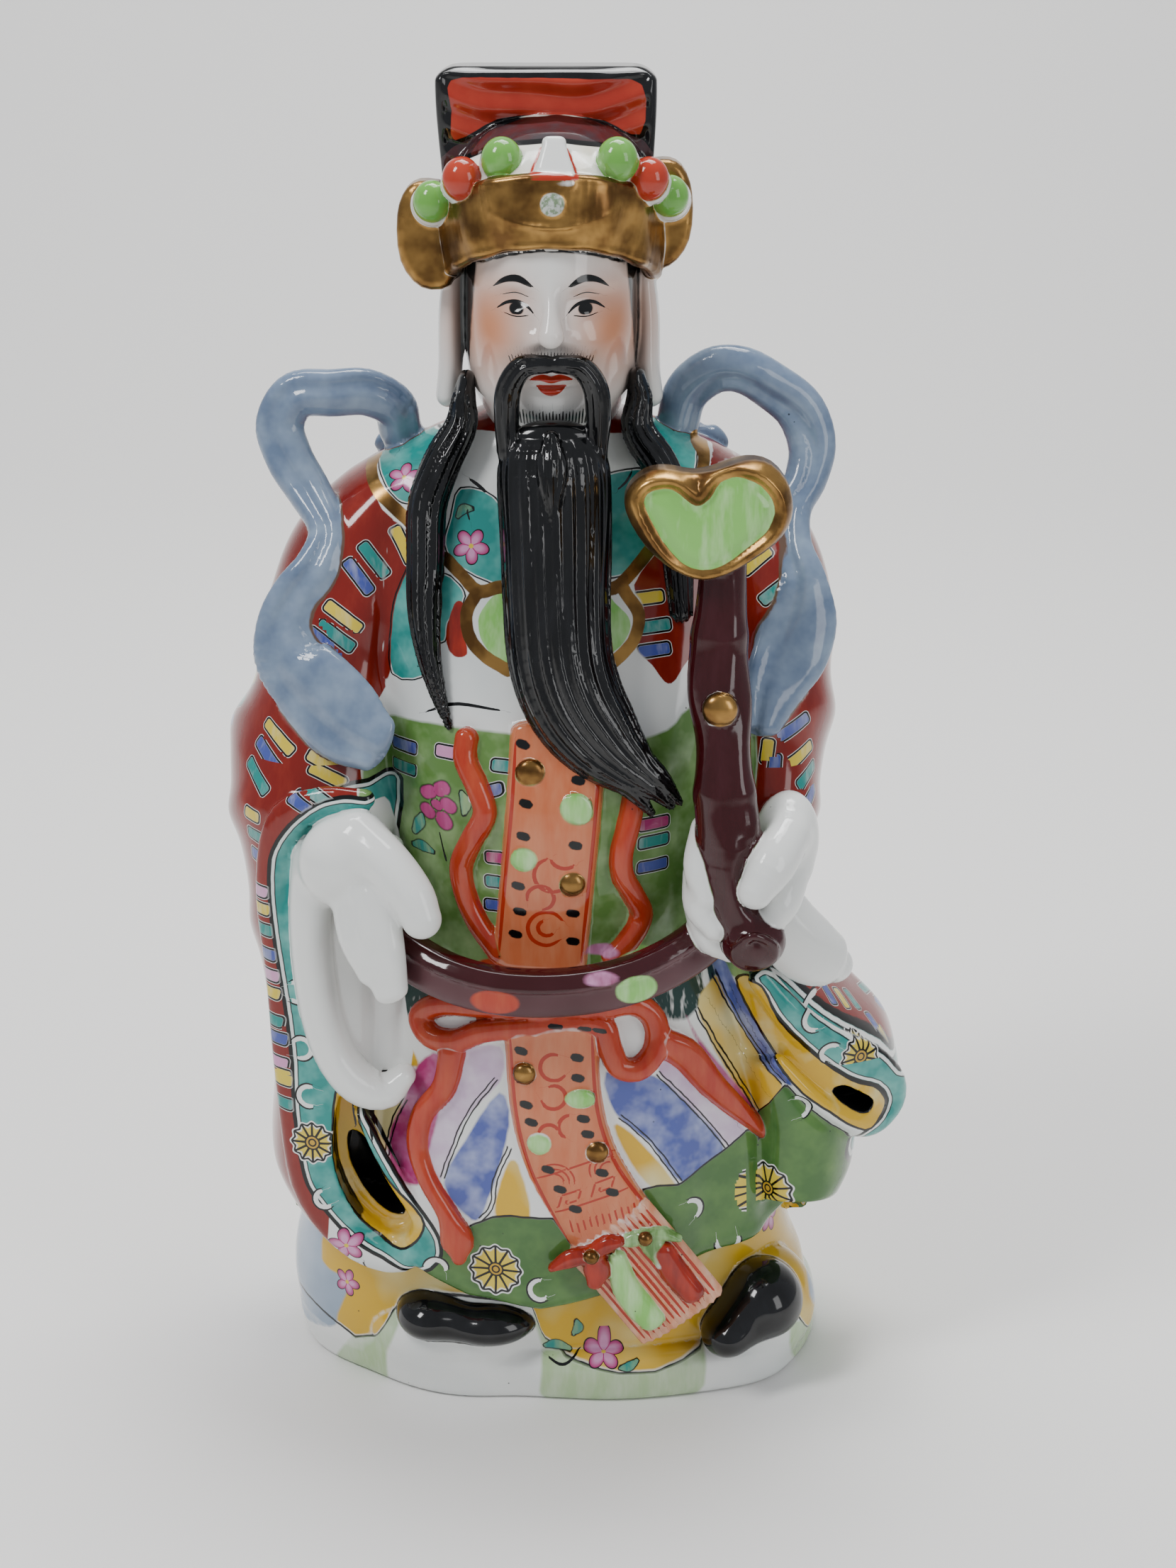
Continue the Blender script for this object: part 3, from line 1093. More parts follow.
# Round motifs: x, z, radius and turn
DAISIES = [[-76, 90, 6.5, 0], [93, 111.7, 6.5, 10], [-21.2, 47, 8, 0], [62.1, 69.7, 8.3, 15]]
BLOSSOMS = [
    [-45.6, 286.5, 5.4, 20], [-25, 270, 5.7, 60], [35, 291, 5.3, 10], [-67, 54, 6.2, 30],
    [-68.4, 34, 5.1, 70], [67.7, 50, 5.7, 0], [12.4, 17.5, 6.8, 15],
]
BACK_BLOSSOMS = [[-50, 50, 5.4, 20], [0, 46, 5.4, 60], [50, 50, 5.4, 100]]

# Brush strokes on the front: x, z and half width
PETALS = [
    [[-38.5, 197.6, 1.9], [-37.3, 198.2, 1.9]], [[-34.5, 199.4, 2.1], [-33.5, 200, 2.1]],
    [[-32.5, 195.4, 2], [-31.5, 194.8, 2]], [[-35.8, 194.8, 1.4], [-35, 194.4, 1.4]],
    [[-38.6, 192.4, 1.9], [-37.8, 191.6, 1.9]], [[-33.8, 190.8, 2.2], [-33, 189.6, 2.2]],
]
LEAVES = [
    [[-42.6, 183.6, 0.8], [-40.8, 187.6, 1.6], [-40.2, 190, 0.6]],
    [[-43, 179, 0.7], [-40.4, 179.8, 1.7], [-37, 179, 0.6]],
    [[-28, 199.6, 0.7], [-26.8, 196.8, 1.6], [-27.4, 193.4, 0.6]],
    [[-48.6, 293, 0.6], [-46.2, 294.4, 1.2], [-43.4, 294, 0.4]],
    [[-29, 275.8, 0.5], [-27.4, 277.8, 1.2], [-24.6, 278, 0.4]],
    [[34, 297, 0.5], [33, 299.4, 1], [34.4, 301, 0.3]],
    [[-4.6, 17.4, 0.7], [-1.4, 18, 1.6], [3, 16.4, 0.5]],
    [[4, 21.6, 0.6], [5.6, 24, 1.5], [4.8, 27, 0.4]],
    [[18.6, 12.4, 0.5], [21.4, 12.6, 1.2], [24, 14, 0.4]],
]
SPRIGS = [
    [[-40.5, 289.5, 0.2], [-37, 290, 0.35], [-33.6, 291.6, 0.3]],
    [[-47.4, 291, 0.2], [-46.4, 294.6, 0.3]], [[-25.4, 274.6, 0.2], [-26.4, 277.6, 0.3]],
    [[-35, 187, 0.2], [-33.6, 180, 0.25], [-32.8, 177, 0.5]],
    [[-62, 48, 0.25], [-63.6, 44, 0.4], [-66, 41.6, 0.3]], [[-60.6, 49.6, 0.25], [-59.4, 45.6, 0.35]],
    [[6.8, 17, 0.2], [1, 13, 0.4], [-4.4, 15, 0.3]],
    [[-25.9, 286, 0.35], [-23, 284.2, 0.5], [-20.2, 282, 0.4]],
    [[16.8, 283, 0.2], [19.6, 285.2, 0.35], [21.4, 288, 0.3]],
    [[-16.6, 124, 0.2], [-12, 123, 0.4], [-7, 124.6, 0.2]],
]
FOLD_LINES = [
    [[-38.8, 221, 0.3], [-29.8, 224.6, 0.5], [-15.7, 223.6, 0.3]],
    [[-61, 108, 0.3], [-62.6, 98, 0.5], [-62, 90, 0.3]],
    [[-55.4, 106, 0.3], [-56.6, 97, 0.5], [-56, 90, 0.3]],
]
SASH_DOTS = [
    [-10, 215.8], [-9.2, 199.4], [-10, 189.8], [-11.6, 174.4], [-11.2, 166], [-12.6, 158.4], [5.8, 206],
    [5, 187], [4.2, 165.4], [4.2, 156], [-11.2, 122], [-9.8, 105], [-8.3, 99.4], [-3.4, 84], [0.2, 77.5],
    [4.8, 71], [5.4, 120], [5.6, 113.6], [7.2, 100.6], [8.5, 95.6], [12.8, 83], [15.9, 76.6],
]
BOW_DOTS = [[-1, 129.9], [7.6, 129], [11.9, 128.4]]
SASH_SCROLLS = [
    [-1.6, 178, 5.4, 100, 250], [-5.2, 170.5, 4, 200, -290], [-3.4, 160.4, 5.6, 20, 300],
    [-3.4, 160.6, 2.6, 330, -230], [2, 184.6, 4.6, 200, 110], [-1.4, 117, 4.2, 60, 270],
    [-1.8, 107.6, 3.8, 120, -290], [3.8, 98, 4, 250, -160], [-3, 95.8, 3, 20, 160],
]
HEM_SCROLLS = [
    [-78, 136.6, 2.7, 130, -270], [-77.2, 118.8, 2.7, 150, -270], [-75.2, 103.8, 2.7, 60, 240],
    [-71.4, 70, 2.4, 100, 220], [76.6, 126.4, 2.8, 60, 230], [82, 114.4, 2.6, 40, 210],
    [-38, 47.6, 2.8, 170, -180], [-5.9, 42.2, 2.8, 80, 230], [39.6, 66, 2.9, 110, -170],
    [51.6, 52.8, 3, 170, 220], [72.4, 98, 2.6, 120, -200],
]
FRET_STEPS = [[-3, 0], [-3, 4.6], [2.8, 4.6], [2.8, 1], [-1, 1], [-1, 3]]


def arc(x, z, radius, start, sweep, half):
    """A brush stroke along part of a circle, as x, z and half width."""
    turns = np.radians(start + sweep * np.linspace(0, 1, 7))
    return [[x + radius * math.cos(t), z + radius * math.sin(t), half] for t in turns]


def dot(x, z, wide=0.8, tall=1.3):
    return [[x - wide, z + 0.2, tall], [x + wide, z - 0.2, tall]]


def between(start, end, share):
    return [a + share * (b - a) for a, b in zip(start, end)]


def sash_borders():
    """Red lines along both edges of the two sashes."""
    lines = []
    for rows in (UPPER_SASH, LOWER_SASH):
        for side in (-1, 1):
            line = []
            for x, z in rows:
                half = 12.1 + 0.03 * max(100 - z, 0)
                line.append([x + side * half, z + side * 0.22 * (x - rows[0][0]), 0.55])
            lines.append(line)
    return lines


def sash_patterns():
    """Arcs, key pattern and fringe at the lower end of the sash, set across its slant."""
    lines = []
    for z, half in ((83, 0.34), (71.5, 0.34)):
        start = [-7.5 + 0.42 * (83 - z), z - 2.5]
        lines.append([[*between(start, [start[0] + 24, start[1] + 9], t), half] for t in (0, 0.5, 1)])
    for k in range(3):
        lines.append(arc(-1.5, 79.6, 3 + 1.6 * k, -5, 130, 0.3))
        lines.append(arc(14.6, 84, 2.4 + 1.6 * k, 60, 150, 0.3))
    for x, z in ((2.6, 73), (12.6, 77.2)):
        corners = [[x + u + 0.25 * v, z + 0.38 * u + v - 1] for u, v in FRET_STEPS]
        for start, end in zip(corners, corners[1:]):
            lines.append([[*between(start, end, t), 0.34] for t in (-0.05, 0.5, 1.05)])
    for k in range(12):
        x = 3.2 + 1.9 * k
        z = 66.5 + 0.36 * (x - 3.2)
        lines.append([[x, z, 0.34], [x + 1.1, z - 4.4, 0.3]])
    return lines


def panel_fringe():
    """Long strokes down the tassel panel."""
    lines = []
    for k in range(15):
        across = -13.4 + 1.92 * k
        lines.append([[x + 0.78 * across, z + 0.62 * across, 0.5] for x, z in TASSEL_PANEL])
    return lines


def by_box(outline, p, grow=6.0, back=0.0):
    """Signed distance to an outline of x and z seen from the front, worked out only near it."""
    corners = smooth_loop(outline)
    flat = p[:, [0, 2]]
    near = np.all((flat > corners.min(0) - grow) & (flat < corners.max(0) + grow), axis=1)
    d = np.full(len(p), grow)
    d[near] = np.minimum(outline_distance(corners, flat[near]), grow)
    return np.maximum(d, np.minimum(p[:, 1] - back, grow))


def side_of_curve(knots, p, reach=5.0):
    """Signed offset of front points from a smooth curve of x and z, and how far they lie past its ends."""
    path = Path([[x, 0.0, z, 1.0, 1.0] for x, z in knots])
    low = path.points.min(0) - reach
    high = path.points.max(0) + reach
    flat = np.stack([p[:, 0], np.zeros(len(p)), p[:, 2]], axis=1)
    near = np.all((flat > low) & (flat < high), axis=1)
    off = np.full(len(p), reach)
    past = np.full(len(p), reach)
    _, u, _, w, _, _ = path.locate(flat[near])
    off[near] = u
    past[near] = np.abs(w)
    return off, past


def union(*fields):
    return np.minimum.reduce(fields)


def overlap(*fields):
    return np.maximum.reduce(fields)


def ownership(sculpture, p):
    """For each group, the distance to where its surface gives way to another's, negative on its own."""
    own = np.array([group.at(p) for group in sculpture.groups])
    order = np.sort(own, axis=0)
    least = order[0]
    second = order[1]
    shares = np.where(own == least, least - second, own - least)
    shares = {group.name: share / 2 for group, share in zip(sculpture.groups, shares)}
    for hollow in sculpture.hollows:
        shares[hollow.name] = np.clip(np.abs(hollow.at(p)) - 0.5, -2, 5)
    return shares


def body_areas(p, own):
    """Signed distances of the painted areas of the body, negative inside."""
    front = p[:, 1]
    panel = overlap(by_box(FRONT_PANEL, p, 12.0), front)
    clothed = ("robe", "left_sleeve", "right_sleeve", "left_border", "right_border")
    robe = union(*(own[name] for name in clothed))
    hem_top = np.where(front < 0, p[:, 2] - np.interp(p[:, 0], HEM_TOP_X, HEM_TOP_Z), p[:, 2] - 62)
    edge = np.where(front < 0, np.interp(p[:, 0], SKIRT_EDGE_X, SKIRT_EDGE_Z), SKIRT_EDGE_BACK)
    foot = union(own["underskirt"], own["plinth"])
    areas = {
        "red": overlap(robe, -panel),
        "turquoise": union(*(by_box(o, p) for o in (YOKE_LEFT, YOKE_RIGHT, CHEST_TURQUOISE_LEFT,
                                                     CHEST_TURQUOISE_RIGHT, STRIP_OUTER, STRIP_INNER))),
        "medallions": union(by_box(MEDALLION_LEFT, p), by_box(MEDALLION_RIGHT, p)),
        "red_drop": by_box(RED_DROP, p),
        "belly": overlap(by_box(BELLY, p), panel),
        "green_hem": overlap(union(own["robe"], own["tail"]), hem_top * 0.8),
        "left_hem": overlap(by_box(LEFT_HEM, p), front + 5),
        "left_cuff": by_box(LEFT_CUFF, p),
        "left_yellow": by_box(LEFT_YELLOW, p),
        "right_hem": overlap(by_box(RIGHT_HEM, p), own["belt"] * -1),
        "right_yellow": by_box(RIGHT_YELLOW, p),
        "brush": union(*(by_box(o, p) for o in BRUSH_PATCHES)),
        "skirt_edge": overlap(foot, (edge - p[:, 2]) * 0.7),
        "skirt_blue": overlap(foot, union(*(by_box(o, p, 12.0, BEHIND) for o in SKIRT_BLUE))),
        "plinth_green": overlap(foot, union(*(by_box(o, p, 8.0, BEHIND) for o in PLINTH_GREEN))),
        "skirt_front": overlap(own["robe"], front, p[:, 2] - 150),
    }
    for colour in ("yellow", "magenta", "lilac", "blue"):
        areas["stripe_" + colour] = union(*(by_box(o[1:], p) for o in STRIPES if o[0] == colour))
    edges = union(areas["left_hem"], areas["right_hem"], areas["left_cuff"])
    areas["bar_ground"] = overlap(union(areas["red"], areas["belly"], by_box(RIGHT_STRIP, p)), -edges)
    belt = [own["belt"], p[:, 2] - np.interp(p[:, 0], BELT_ROLL_X, BELT_ROLL_Z), p[:, 1] + 40]
    areas["belt_front"] = overlap(*belt)
    for name, (x, z, wide, tall) in BELT_OVALS.items():
        oval = np.hypot((p[:, 0] - x) / wide, (p[:, 2] - z) / tall) * tall - tall
        areas[name] = overlap(oval, front)
    gold = []
    for knots in COLLAR_EDGES:
        off, past = side_of_curve(knots, p, 8.0)
        gold.append(np.hypot(off, past) - 1.8)
    areas["collar_gold"] = overlap(union(*gold), front)
    areas["heart"] = overlap(by_box(SCEPTRE_HEART, p), own["sceptre_head"])
    lines = [side_of_curve(knots, p) for knots in STRIPE_LINES]
    nearest = np.argmin([np.hypot(off, past) for off, past in lines], axis=0)
    picked = np.take_along_axis(np.array(lines), nearest[None, None, :], axis=0)[0]
    areas["stripe_line"] = picked[0]
    areas["stripe_line_past"] = overlap(picked[1], front)
    return {**own, **areas}


def store(mesh, name, values):
    attribute = mesh.attributes.new(name, "FLOAT", "POINT")
    attribute.data.foreach_set("value", values.astype(np.float32))


# Strokes and motifs, set down face by face
STROKE_REACH = 1.7
BLANK = 30.0


class Skin:
    """The faces and face corners of a mesh, to paint brush strokes and motifs on."""

    def __init__(self, mesh):
        self.mesh = mesh
        self.places = places_of(mesh).astype(float)
        corners = np.empty(len(mesh.loops), np.int32)
        mesh.loops.foreach_get("vertex_index", corners)
        sizes = np.empty(len(mesh.polygons), np.int32)
        mesh.polygons.foreach_get("loop_total", sizes)
        self.corners = self.places[corners]
        self.face = np.repeat(np.arange(len(sizes)), sizes)
        self.middles = self.face_vectors("center") / MM
        self.normals = self.face_vectors("normal")

    def face_vectors(self, name):
        values = np.empty(3 * len(self.mesh.polygons), np.float32)
        self.mesh.polygons.foreach_get(name, values)
        return values.reshape(-1, 3).astype(float)

    def brush(self, name, strokes, solid=False):
        """Offset from the nearest stroke over its half width: under 1 is painted."""
        paths = [Path([[x, 0.0, z, half, half] for x, z, half in rows]) for rows in strokes]
        flat = self.middles * (1, 0, 1)
        front = self.normals[:, 1] < -0.05
        best = np.full(len(flat), STROKE_REACH)
        owner = np.full(len(flat), -1)
        for k, path in enumerate(paths):
            margin = STROKE_REACH + path.sizes.max()
            low = path.points.min(0) - margin
            high = path.points.max(0) + margin
            near = np.flatnonzero(front & np.all((flat > low)[:, ::2] & (flat < high)[:, ::2], axis=1))
            if len(near) == 0:
                continue
            _, u, _, w, half, _ = path.locate(flat[near])
            away = np.hypot(u, w) - half
            closer = away < best[near]
            best[near[closer]] = away[closer]
            owner[near[closer]] = k
        field = np.full(len(self.face), BLANK)
        flat = self.corners * (1, 0, 1)
        for k in np.unique(owner[owner >= 0]):
            path = paths[k]
            mine = owner[self.face] == k
            run, u, _, w, half, _ = path.locate(flat[mine])
            if solid:
                field[mine] = np.minimum(np.hypot(u, w) / half, BLANK)
                continue
            share = 2 * run / path.run[-1] - 1
            taper = np.sqrt(np.maximum(1 - share**6, 0.001))
            field[mine] = np.clip(u / (half * taper), -BLANK, BLANK)
        attribute = self.mesh.attributes.new(name, "FLOAT", "CORNER")
        attribute.data.foreach_set("value", field.astype(np.float32))

    def on(self, area):
        """Which faces lie in a painted area."""
        values = np.empty(len(self.mesh.vertices), np.float32)
        self.mesh.attributes[area].data.foreach_get("value", values)
        corners = np.empty(len(self.mesh.loops), np.int32)
        self.mesh.loops.foreach_get("vertex_index", corners)
        return np.bincount(self.face, values[corners]) < 0

    def anchor(self, view, across, height, allowed):
        """The outermost allowed face at a place seen from one side: its middle, and the mean normal there."""
        axis = 0 if view in ("front", "back") else 1
        out = {"front": (0, -1, 0), "back": (0, 1, 0), "left": (-1, 0, 0), "right": (1, 0, 0)}[view]
        facing = self.normals @ out
        away = np.hypot(self.middles[:, axis] - across, self.middles[:, 2] - height)
        near = np.flatnonzero(allowed & (away < 2.0) & (facing > 0.05))
        if len(near) == 0:
            return None
        place = self.middles[near[np.argmax(self.middles[near] @ out)]]
        close = allowed & (np.linalg.norm(self.middles - place, axis=1) < 3.0)
        return place, unit(self.normals[close].sum(0))

    def stamp(self, name, motifs, reach, area=None):
        """Place in the nearest motif's own frame. A motif is view, x, z, turn, size and colour."""
        allowed = np.full(len(self.middles), True) if area is None else self.on(area)
        best = np.full(len(self.middles), reach)
        owner = np.full(len(self.middles), -1)
        frames = []
        for k, (view, across, height, turn, _, _) in enumerate(motifs):
            found = self.anchor(view, across, height, allowed)
            frames.append(found)
            if found is None:
                continue
            place, normal = found
            level = unit(np.cross((0.0, 0.0, 1.0), normal))
            upward = np.cross(normal, level)
            c = math.cos(math.radians(turn))
            s = math.sin(math.radians(turn))
            frames[k] = (place, level * c + upward * s, upward * c - level * s)
            away = np.linalg.norm(self.middles - place, axis=1)
            closer = (away < best) & (self.normals @ normal > 0.3)
            best[closer] = away[closer]
            owner[closer] = k
        values = np.full((len(self.face), 3), BLANK)
        tints = np.ones((len(self.face), 4))
        for k in np.unique(owner[owner >= 0]):
            place, along, over = frames[k]
            mine = owner[self.face] == k
            off = self.corners[mine] - place
            values[mine] = np.stack([off @ along, off @ over, np.full(len(off), motifs[k][4])], axis=1)
            tints[mine, :3] = motifs[k][5]
        attribute = self.mesh.attributes.new(name, "FLOAT_VECTOR", "CORNER")
        attribute.data.foreach_set("vector", values.astype(np.float32).ravel())
        colours = self.mesh.attributes.new(name + "_tint", "FLOAT_COLOR", "CORNER")
        colours.data.foreach_set("color", tints.astype(np.float32).ravel())


def bar_motifs():
    """Every enamel bar: view, place, tilt, half length and colour."""
    colours = [BAR_YELLOW, TURQUOISE, BLUE, PINK, MAGENTA]
    motifs = []
    for tilt, half, kinds, places in BARS:
        for kind, (x, z) in zip(kinds, places):
            motifs.append(("front", x, z, tilt, half, colours[kind]))
    for k in range(EDGE_BARS):
        z = EDGE_BAR_TOP - EDGE_BAR_STEP * k
        motifs.append(("front", -83 - 0.09 * (z - 85), z, -10, 3, colours[k % 4]))
    for view, tilt, groups in SIDE_BARS:
        for height, across in groups:
            for k, kind in enumerate(TRIO):
                motifs.append((view, across + 1.5 * k, height - BAR_ROW * k, tilt, 5.6, colours[kind]))
    return motifs


def round_motifs(rows, view="front"):
    return [(view, x, z, turn, radius, (1.0, 1.0, 1.0)) for x, z, radius, turn in rows]


def body_strokes():
    """Sets of brush strokes on the body, each of one colour."""
    scrolls = []
    shades = []
    for x, z, radius, start, sweep in HEM_SCROLLS:
        scrolls.append(arc(x, z, radius + 0.5, start, sweep, 0.78))
        shades.append(arc(x, z, radius + 1.4, start, sweep, 0.28))
    return {
        "ink": SPRIGS + FOLD_LINES + shades,
        "scrolls": scrolls,
        "sash_red": [arc(*row, 0.6) for row in SASH_SCROLLS] + sash_borders() + sash_patterns(),
        "fringe": panel_fringe(),
    }


def solid_strokes():
    """Sets of short full brush strokes: petals, leaves and dots."""
    return {
        "petals": PETALS,
        "petal_edges": [[[x, z, half + 0.35] for x, z, half in rows] for rows in PETALS],
        "leaf_edges": [[[x, z, half + 0.35] for x, z, half in rows] for rows in LEAVES],
        "leaves": LEAVES,
        "sash_dots": [dot(x, z) for x, z in SASH_DOTS] + [dot(x, z, 1.6, 0.8) for x, z in BOW_DOTS],
    }


def paint_body(mesh):
    skin = Skin(mesh)
    for name, strokes in body_strokes().items():
        skin.brush(name, strokes)
    for name, strokes in solid_strokes().items():
        skin.brush(name, strokes, solid=True)
    skin.stamp("bars", bar_motifs(), 9.5, "bar_ground")
    skin.stamp("daisies", round_motifs(DAISIES), 10.5)
    skin.stamp("blossoms", round_motifs(BLOSSOMS) + round_motifs(BACK_BLOSSOMS, "back"), 8.5)


# Face, hat and hair paint: strokes are x, z and half width, and the face is symmetrical
BROW = [[-18, 342.4, 0.2], [-14.6, 344.8, 0.75], [-10.8, 345.4, 1], [-6.6, 343.2, 0.5]]
EYE_STROKES = [
    [[-17, 336.6, 0.2], [-14.2, 338.4, 0.42], [-11.2, 338.9, 0.5], [-8.4, 337.9, 0.42], [-6.2, 335.7, 0.2]],
    [[-15, 335.9, 0.12], [-11.4, 335.1, 0.18], [-7.6, 335.5, 0.14]],
    [[-15.6, 340.4, 0.1], [-11.4, 341.4, 0.18], [-7.6, 340.2, 0.1]],
]
IRIS = [[-11.8, 337.1, 1.55], [-10.8, 337.1, 1.55]]
UPPER_LIP = [[-8, 317.4, 0.3], [-4.4, 318.2, 0.9], [-1.7, 317.6, 1], [1, 318.2, 0.9], [4.6, 317.4, 0.3]]
LOWER_LIP = [[-6, 315.8, 0.4], [-1.7, 314.4, 1.6], [2.6, 315.8, 0.4]]
HAT_PANEL = [
    [-30.2, 396.2], [-16, 397], [10, 396.6], [23.8, 395.2], [23.4, 381.2], [13, 385.2], [-0.3, 387],
    [-16.8, 385.6], [-29.4, 379.6], [-30, 388],
]
PANEL_ARC_X = [-34, -30, -16.8, -0.3, 12.9, 24.5, 28]
PANEL_ARC_Z = [375, 378.6, 385.2, 386.7, 385, 380.6, 376]
SIDEBURN = [
    [-31, 352], [-23.4, 350], [-23.6, 341], [-24.6, 330], [-25.4, 320], [-26.4, 311], [-29, 309], [-30, 326],
]
RED_PEARLS = (1, 4)


def head_strokes():
    hairs = []
    for k in range(27):
        x = -12.6 + 0.84 * k
        lean = 0.1 * (x - FACE_X)
        lift = 2.2 * (1 - ((x - FACE_X) / 15) ** 2)
        hairs.append([[x, 321.5, 0.22], [x + lean, 323.4 + lift, 0.1]])
    for k in range(22):
        x = -11.2 + 0.9 * k
        hairs.append([[x, 303, 0.34], [x + 0.06 * (x - FACE_X), 307.6 + 0.5 * (k % 3), 0.14]])
    left = [BROW] + EYE_STROKES
    return {
        "ink": left + [mirrored(rows, FACE_X) for rows in left] + hairs,
        "lips": [UPPER_LIP, LOWER_LIP],
    }


def head_areas(p, own):
    """Signed distances of the painted areas of the head, negative inside."""
    arc_height = p[:, 2] - np.interp(p[:, 0], PANEL_ARC_X, PANEL_ARC_Z)
    across = np.abs(p[:, 0] - FACE_X)
    front = p[:, 1]
    pearls = [np.linalg.norm(p - centre, axis=1) for centre in PEARLS]
    others = np.min([d for k, d in enumerate(pearls) if k not in RED_PEARLS], axis=0)
    reds = np.min([pearls[k] for k in RED_PEARLS], axis=0)
    sideburns = union(by_box(SIDEBURN, p), by_box(mirrored(SIDEBURN, FACE_X), p))
    arch = BAND_FOOT + BAND_ARCH * np.sqrt(np.maximum(1 - (across / BAND_HALF_WIDTH) ** 2, 0))
    under_hat = (np.minimum(own["face"], own["cap"]) < 0) & (p[:, 2] < arch)
    return {
        **own,
        "hat_tier_or_cap": union(own["hat_tier"], own["cap"]),
        "brim": np.where(under_hat & (own["hat_band"] < 2), own["hat_band"], 5),
        "panel": overlap(by_box(HAT_PANEL, p), front + 1),
        "jewel_edge": np.where(p[:, 2] > JEWEL_FOOT, own["white_jewel"], 5),
        "arc": np.where(front < 6, arc_height, 20),
        "red_pearls": (reds - others) / 2,
        "sideburns": overlap(sideburns, own["face"], front - 4),
        "nape": overlap(union(own["face"], own["cap"]), 5 - front, 301 - p[:, 2]),
        "blush": bump(across, 18, 13) * bump(p[:, 2], 331, 17) * (front < -8),
        "face_shade": bump(across, 10.5, 5.5) * bump(p[:, 2], 341, 3) * (front < -8),
    }


def paint_head(mesh):
    skin = Skin(mesh)
    for name, strokes in head_strokes().items():
        skin.brush(name, strokes)
    skin.brush("irises", [IRIS, mirrored(IRIS, FACE_X)], solid=True)


# Shader graphs
class Wire:
    """A number in a shader graph; sums and products of wires add the nodes that they need."""

    def __init__(self, tree, socket):
        self.tree = tree
        self.socket = socket

    def apply(self, operation, *others):
        node = self.tree.nodes.new("ShaderNodeMath")
        node.operation = operation
        for slot, value in zip(node.inputs, (self, *others)):
            plug(self.tree, slot, value)
        return Wire(self.tree, node.outputs[0])

    def __add__(self, other):
        return self.apply("ADD", other)

    def __sub__(self, other):
        return self.apply("SUBTRACT", other)

    def __mul__(self, other):
        return self.apply("MULTIPLY", other)

    def __abs__(self):
        return self.apply("ABSOLUTE")

    def ramp(self, low, high):
        """0 at low, 1 at high, and held beyond them."""
        node = self.tree.nodes.new("ShaderNodeMapRange")
        plug(self.tree, node.inputs["Value"], self)
        node.inputs["From Min"].default_value = low
        node.inputs["From Max"].default_value = high
        return Wire(self.tree, node.outputs["Result"])


def plug(tree, slot, value):
    if isinstance(value, Wire):
        tree.links.new(value.socket, slot)
    elif isinstance(value, tuple):
        slot.default_value = (*value, 1.0)
    else:
        slot.default_value = value


def srgb(red, green, blue):
    """A linear colour from display values of 0 to 255."""

    def linear(v):
        v /= 255
        return v / 12.92 if v <= 0.04045 else ((v + 0.055) / 1.055) ** 2.4

    return (linear(red), linear(green), linear(blue))


PORCELAIN = srgb(228, 230, 227)
CREAM = srgb(226, 220, 200)
BRICK = srgb(122, 28, 20)
RUSSET = srgb(142, 46, 32)
VERMILION = srgb(166, 46, 26)
CORAL = srgb(180, 76, 46)
ORANGE = srgb(192, 104, 66)
PALE_ORANGE = srgb(204, 134, 98)
TURQUOISE = srgb(30, 134, 128)
AQUA = srgb(120, 190, 182)
GRASS = srgb(92, 130, 66)
SAGE = srgb(150, 180, 126)
DEEP_GREEN = srgb(64, 104, 50)
PALE_GREEN = srgb(166, 192, 146)
LEAF = srgb(104, 166, 72)
LIME = srgb(130, 194, 96)
PALE_LIME = srgb(182, 220, 160)
YELLOW = srgb(208, 166, 34)
BAR_YELLOW = srgb(214, 190, 64)
PALE_YELLOW = srgb(216, 206, 150)
OCHRE = srgb(190, 150, 44)
BLUE = srgb(70, 84, 158)
PALE_BLUE = srgb(160, 170, 206)
LILAC = srgb(188, 162, 192)
PALE_LILAC = srgb(216, 208, 220)
MAGENTA = srgb(168, 52, 112)
PINK = srgb(206, 144, 186)
SLATE = srgb(98, 116, 142)
PALE_SLATE = srgb(142, 160, 180)
MAROON = srgb(52, 8, 12)
PLUM = srgb(66, 24, 30)
GOLD = srgb(176, 136, 76)
BRONZE = srgb(104, 74, 40)
UMBER = srgb(96, 74, 62)
PEACH = srgb(200, 132, 94)
INK = srgb(10, 11, 12)
SOOT = srgb(24, 25, 27)
PITCH_GREEN = srgb(34, 58, 54)
GLAZE_ROUGHNESS = 0.1


